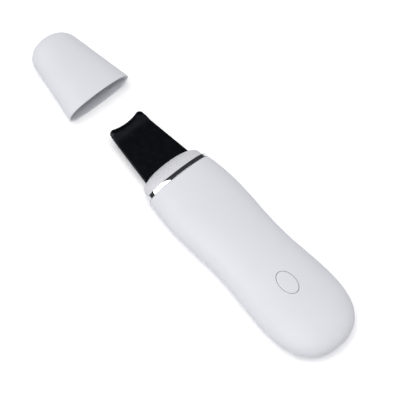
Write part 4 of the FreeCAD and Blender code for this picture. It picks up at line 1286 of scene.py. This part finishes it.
class OBJECT_OT_scrubber_stage(bpy.types.Operator):
    """Make the camera, the paper floor and the soft studio light"""
    bl_idname = "object.scrubber_stage"
    bl_label = "Stage"

    KEY_TOWARDS = (-0.25, 0.07, 0.96)
    SHEEN_TOWARDS = (0.38, -0.40, 0.83)
    FLOOR_RADIUS = 12.0
    WALLS, HORIZON = (0.055, 0.055, 0.062), (1.0, 1.0, 1.02)
    # (axis, where it starts, where it ends, brightness there): the horizon fades out upwards,
    # behind the handle and, in part, to the right
    FADES = (("Z", 0.22, 0.06, 0, 1), ("Y", -0.8, -0.15, 0, 1), ("X", 0.1, 0.7, 1, 0.45))

    def camera(self, scene, studio):
        east, north = math.sin(studio.azimuth), -math.cos(studio.azimuth)
        flat, up = math.cos(studio.elevation), math.sin(studio.elevation)
        back = Vector((east * flat, north * flat, up))
        level = Vector((math.cos(studio.azimuth), math.sin(studio.azimuth), 0))
        above = back.cross(level)
        right = level * math.cos(studio.roll) + above * math.sin(studio.roll)
        top = above * math.cos(studio.roll) - level * math.sin(studio.roll)
        aim = ORIGIN + Vector((studio.aim_right, -studio.aim_behind_ring, 0))
        data = bpy.data.cameras.new("camera")
        data.lens = studio.lens
        data.sensor_width = 36
        data.clip_start, data.clip_end = 0.01, 50
        camera = bpy.data.objects.new("camera", data)
        turn = Matrix((right, top, back)).transposed().to_4x4()
        camera.matrix_world = Matrix.Translation(aim + back * studio.distance) @ turn
        scene.collection.objects.link(camera)
        scene.camera = camera

    def floor(self, scene, colours):
        bm = bmesh.new()
        bmesh.ops.create_circle(bm, cap_ends=True, segments=96, radius=self.FLOOR_RADIUS)
        mesh = bpy.data.meshes.new("paper_floor")
        bm.to_mesh(mesh)
        bm.free()
        mesh.materials.append(studio_paper("seamless_white_paper", colours.floor))
        piece = bpy.data.objects.new("paper_floor", mesh)
        scene.collection.objects.link(piece)

    def light(self, scene, name, strength, spread, towards):
        data = bpy.data.lights.new(name, "SUN")
        data.energy = strength
        data.angle = spread
        lamp = bpy.data.objects.new(name, data)
        lamp.rotation_euler = Vector(towards).to_track_quat("Z", "Y").to_euler()
        scene.collection.objects.link(lamp)

    def surroundings(self, scene, studio):
        """A pale horizon under dark walls and ceiling, so that only the soft light is mirrored."""
        world = bpy.data.worlds.new("studio")
        world.use_nodes = True
        tree = world.node_tree
        tree.nodes.clear()
        way = node(tree, "ShaderNodeTexCoord").outputs["Generated"]
        parts = node(tree, "ShaderNodeSeparateXYZ", {"Vector": way}).outputs
        pale = 1.0
        for axis, start, end, first, last in self.FADES:
            fade = node(tree, "ShaderNodeMapRange",
                        {"Value": parts[axis], "From Min": start, "From Max": end,
                         "To Min": first, "To Max": last})
            pale = node(tree, "ShaderNodeMath", {0: pale, 1: fade.outputs["Result"]},
                        operation="MULTIPLY").outputs["Value"]
        mix = node(tree, "ShaderNodeMix",
                   {"Factor": pale, MIX_A: (*self.WALLS, 1), MIX_B: (*self.HORIZON, 1)},
                   data_type="RGBA")
        back = node(tree, "ShaderNodeBackground",
                    {"Color": mix.outputs[MIX_RESULT], "Strength": studio.fill_strength})
        node(tree, "ShaderNodeOutputWorld", {"Surface": back.outputs["Background"]})
        scene.world = world

    def execute(self, context):
        scene = context.scene
        studio = scene.scrubber_studio
        self.camera(scene, studio)
        self.floor(scene, scene.scrubber_colours)
        self.light(scene, "key_light", studio.key_strength, studio.key_spread, self.KEY_TOWARDS)
        self.light(scene, "sheen_light", studio.sheen_strength, studio.sheen_spread,
                   self.SHEEN_TOWARDS)
        self.surroundings(scene, studio)
        scene.view_settings.view_transform = "Standard"
        return {"FINISHED"}


STEPS = (
    OBJECT_OT_scrubber_stage,
    OBJECT_OT_scrubber_covers,
    OBJECT_OT_scrubber_key,
    OBJECT_OT_scrubber_ring,
    OBJECT_OT_scrubber_collar,
    OBJECT_OT_scrubber_blade,
    OBJECT_OT_scrubber_cap,
    OBJECT_OT_scrubber_socket,
    OBJECT_OT_scrubber_fasteners,
    OBJECT_OT_scrubber_insides,
)
GROUPS = {
    "scrubber_sizes": ScrubberSizes,
    "scrubber_colours": ScrubberColours,
    "scrubber_studio": ScrubberStudio,
}


class VIEW3D_PT_scrubber(bpy.types.Panel):
    """Lists what can be made and the values it is made with"""
    bl_label = "Skin scrubber"
    bl_idname = "VIEW3D_PT_scrubber"
    bl_space_type = "VIEW_3D"
    bl_region_type = "UI"
    bl_category = "Scrubber"

    def draw(self, context):
        for step in STEPS:
            self.layout.operator(step.bl_idname)
        for name, group in GROUPS.items():
            values = getattr(context.scene, name)
            for value in group.__annotations__:
                self.layout.prop(values, value)


def register():
    for cls in (*GROUPS.values(), *STEPS, VIEW3D_PT_scrubber):
        bpy.utils.register_class(cls)
    for name, group in GROUPS.items():
        setattr(bpy.types.Scene, name, bpy.props.PointerProperty(type=group))


def unregister():
    for name in GROUPS:
        delattr(bpy.types.Scene, name)
    for cls in (VIEW3D_PT_scrubber, *reversed(STEPS), *GROUPS.values()):
        bpy.utils.unregister_class(cls)


def main():
    register()
    make_finishes(bpy.context.scene.scrubber_colours)
    for step in STEPS:
        group, name = step.bl_idname.split(".")
        getattr(getattr(bpy.ops, group), name)()


if __name__ == "__main__":
    main()
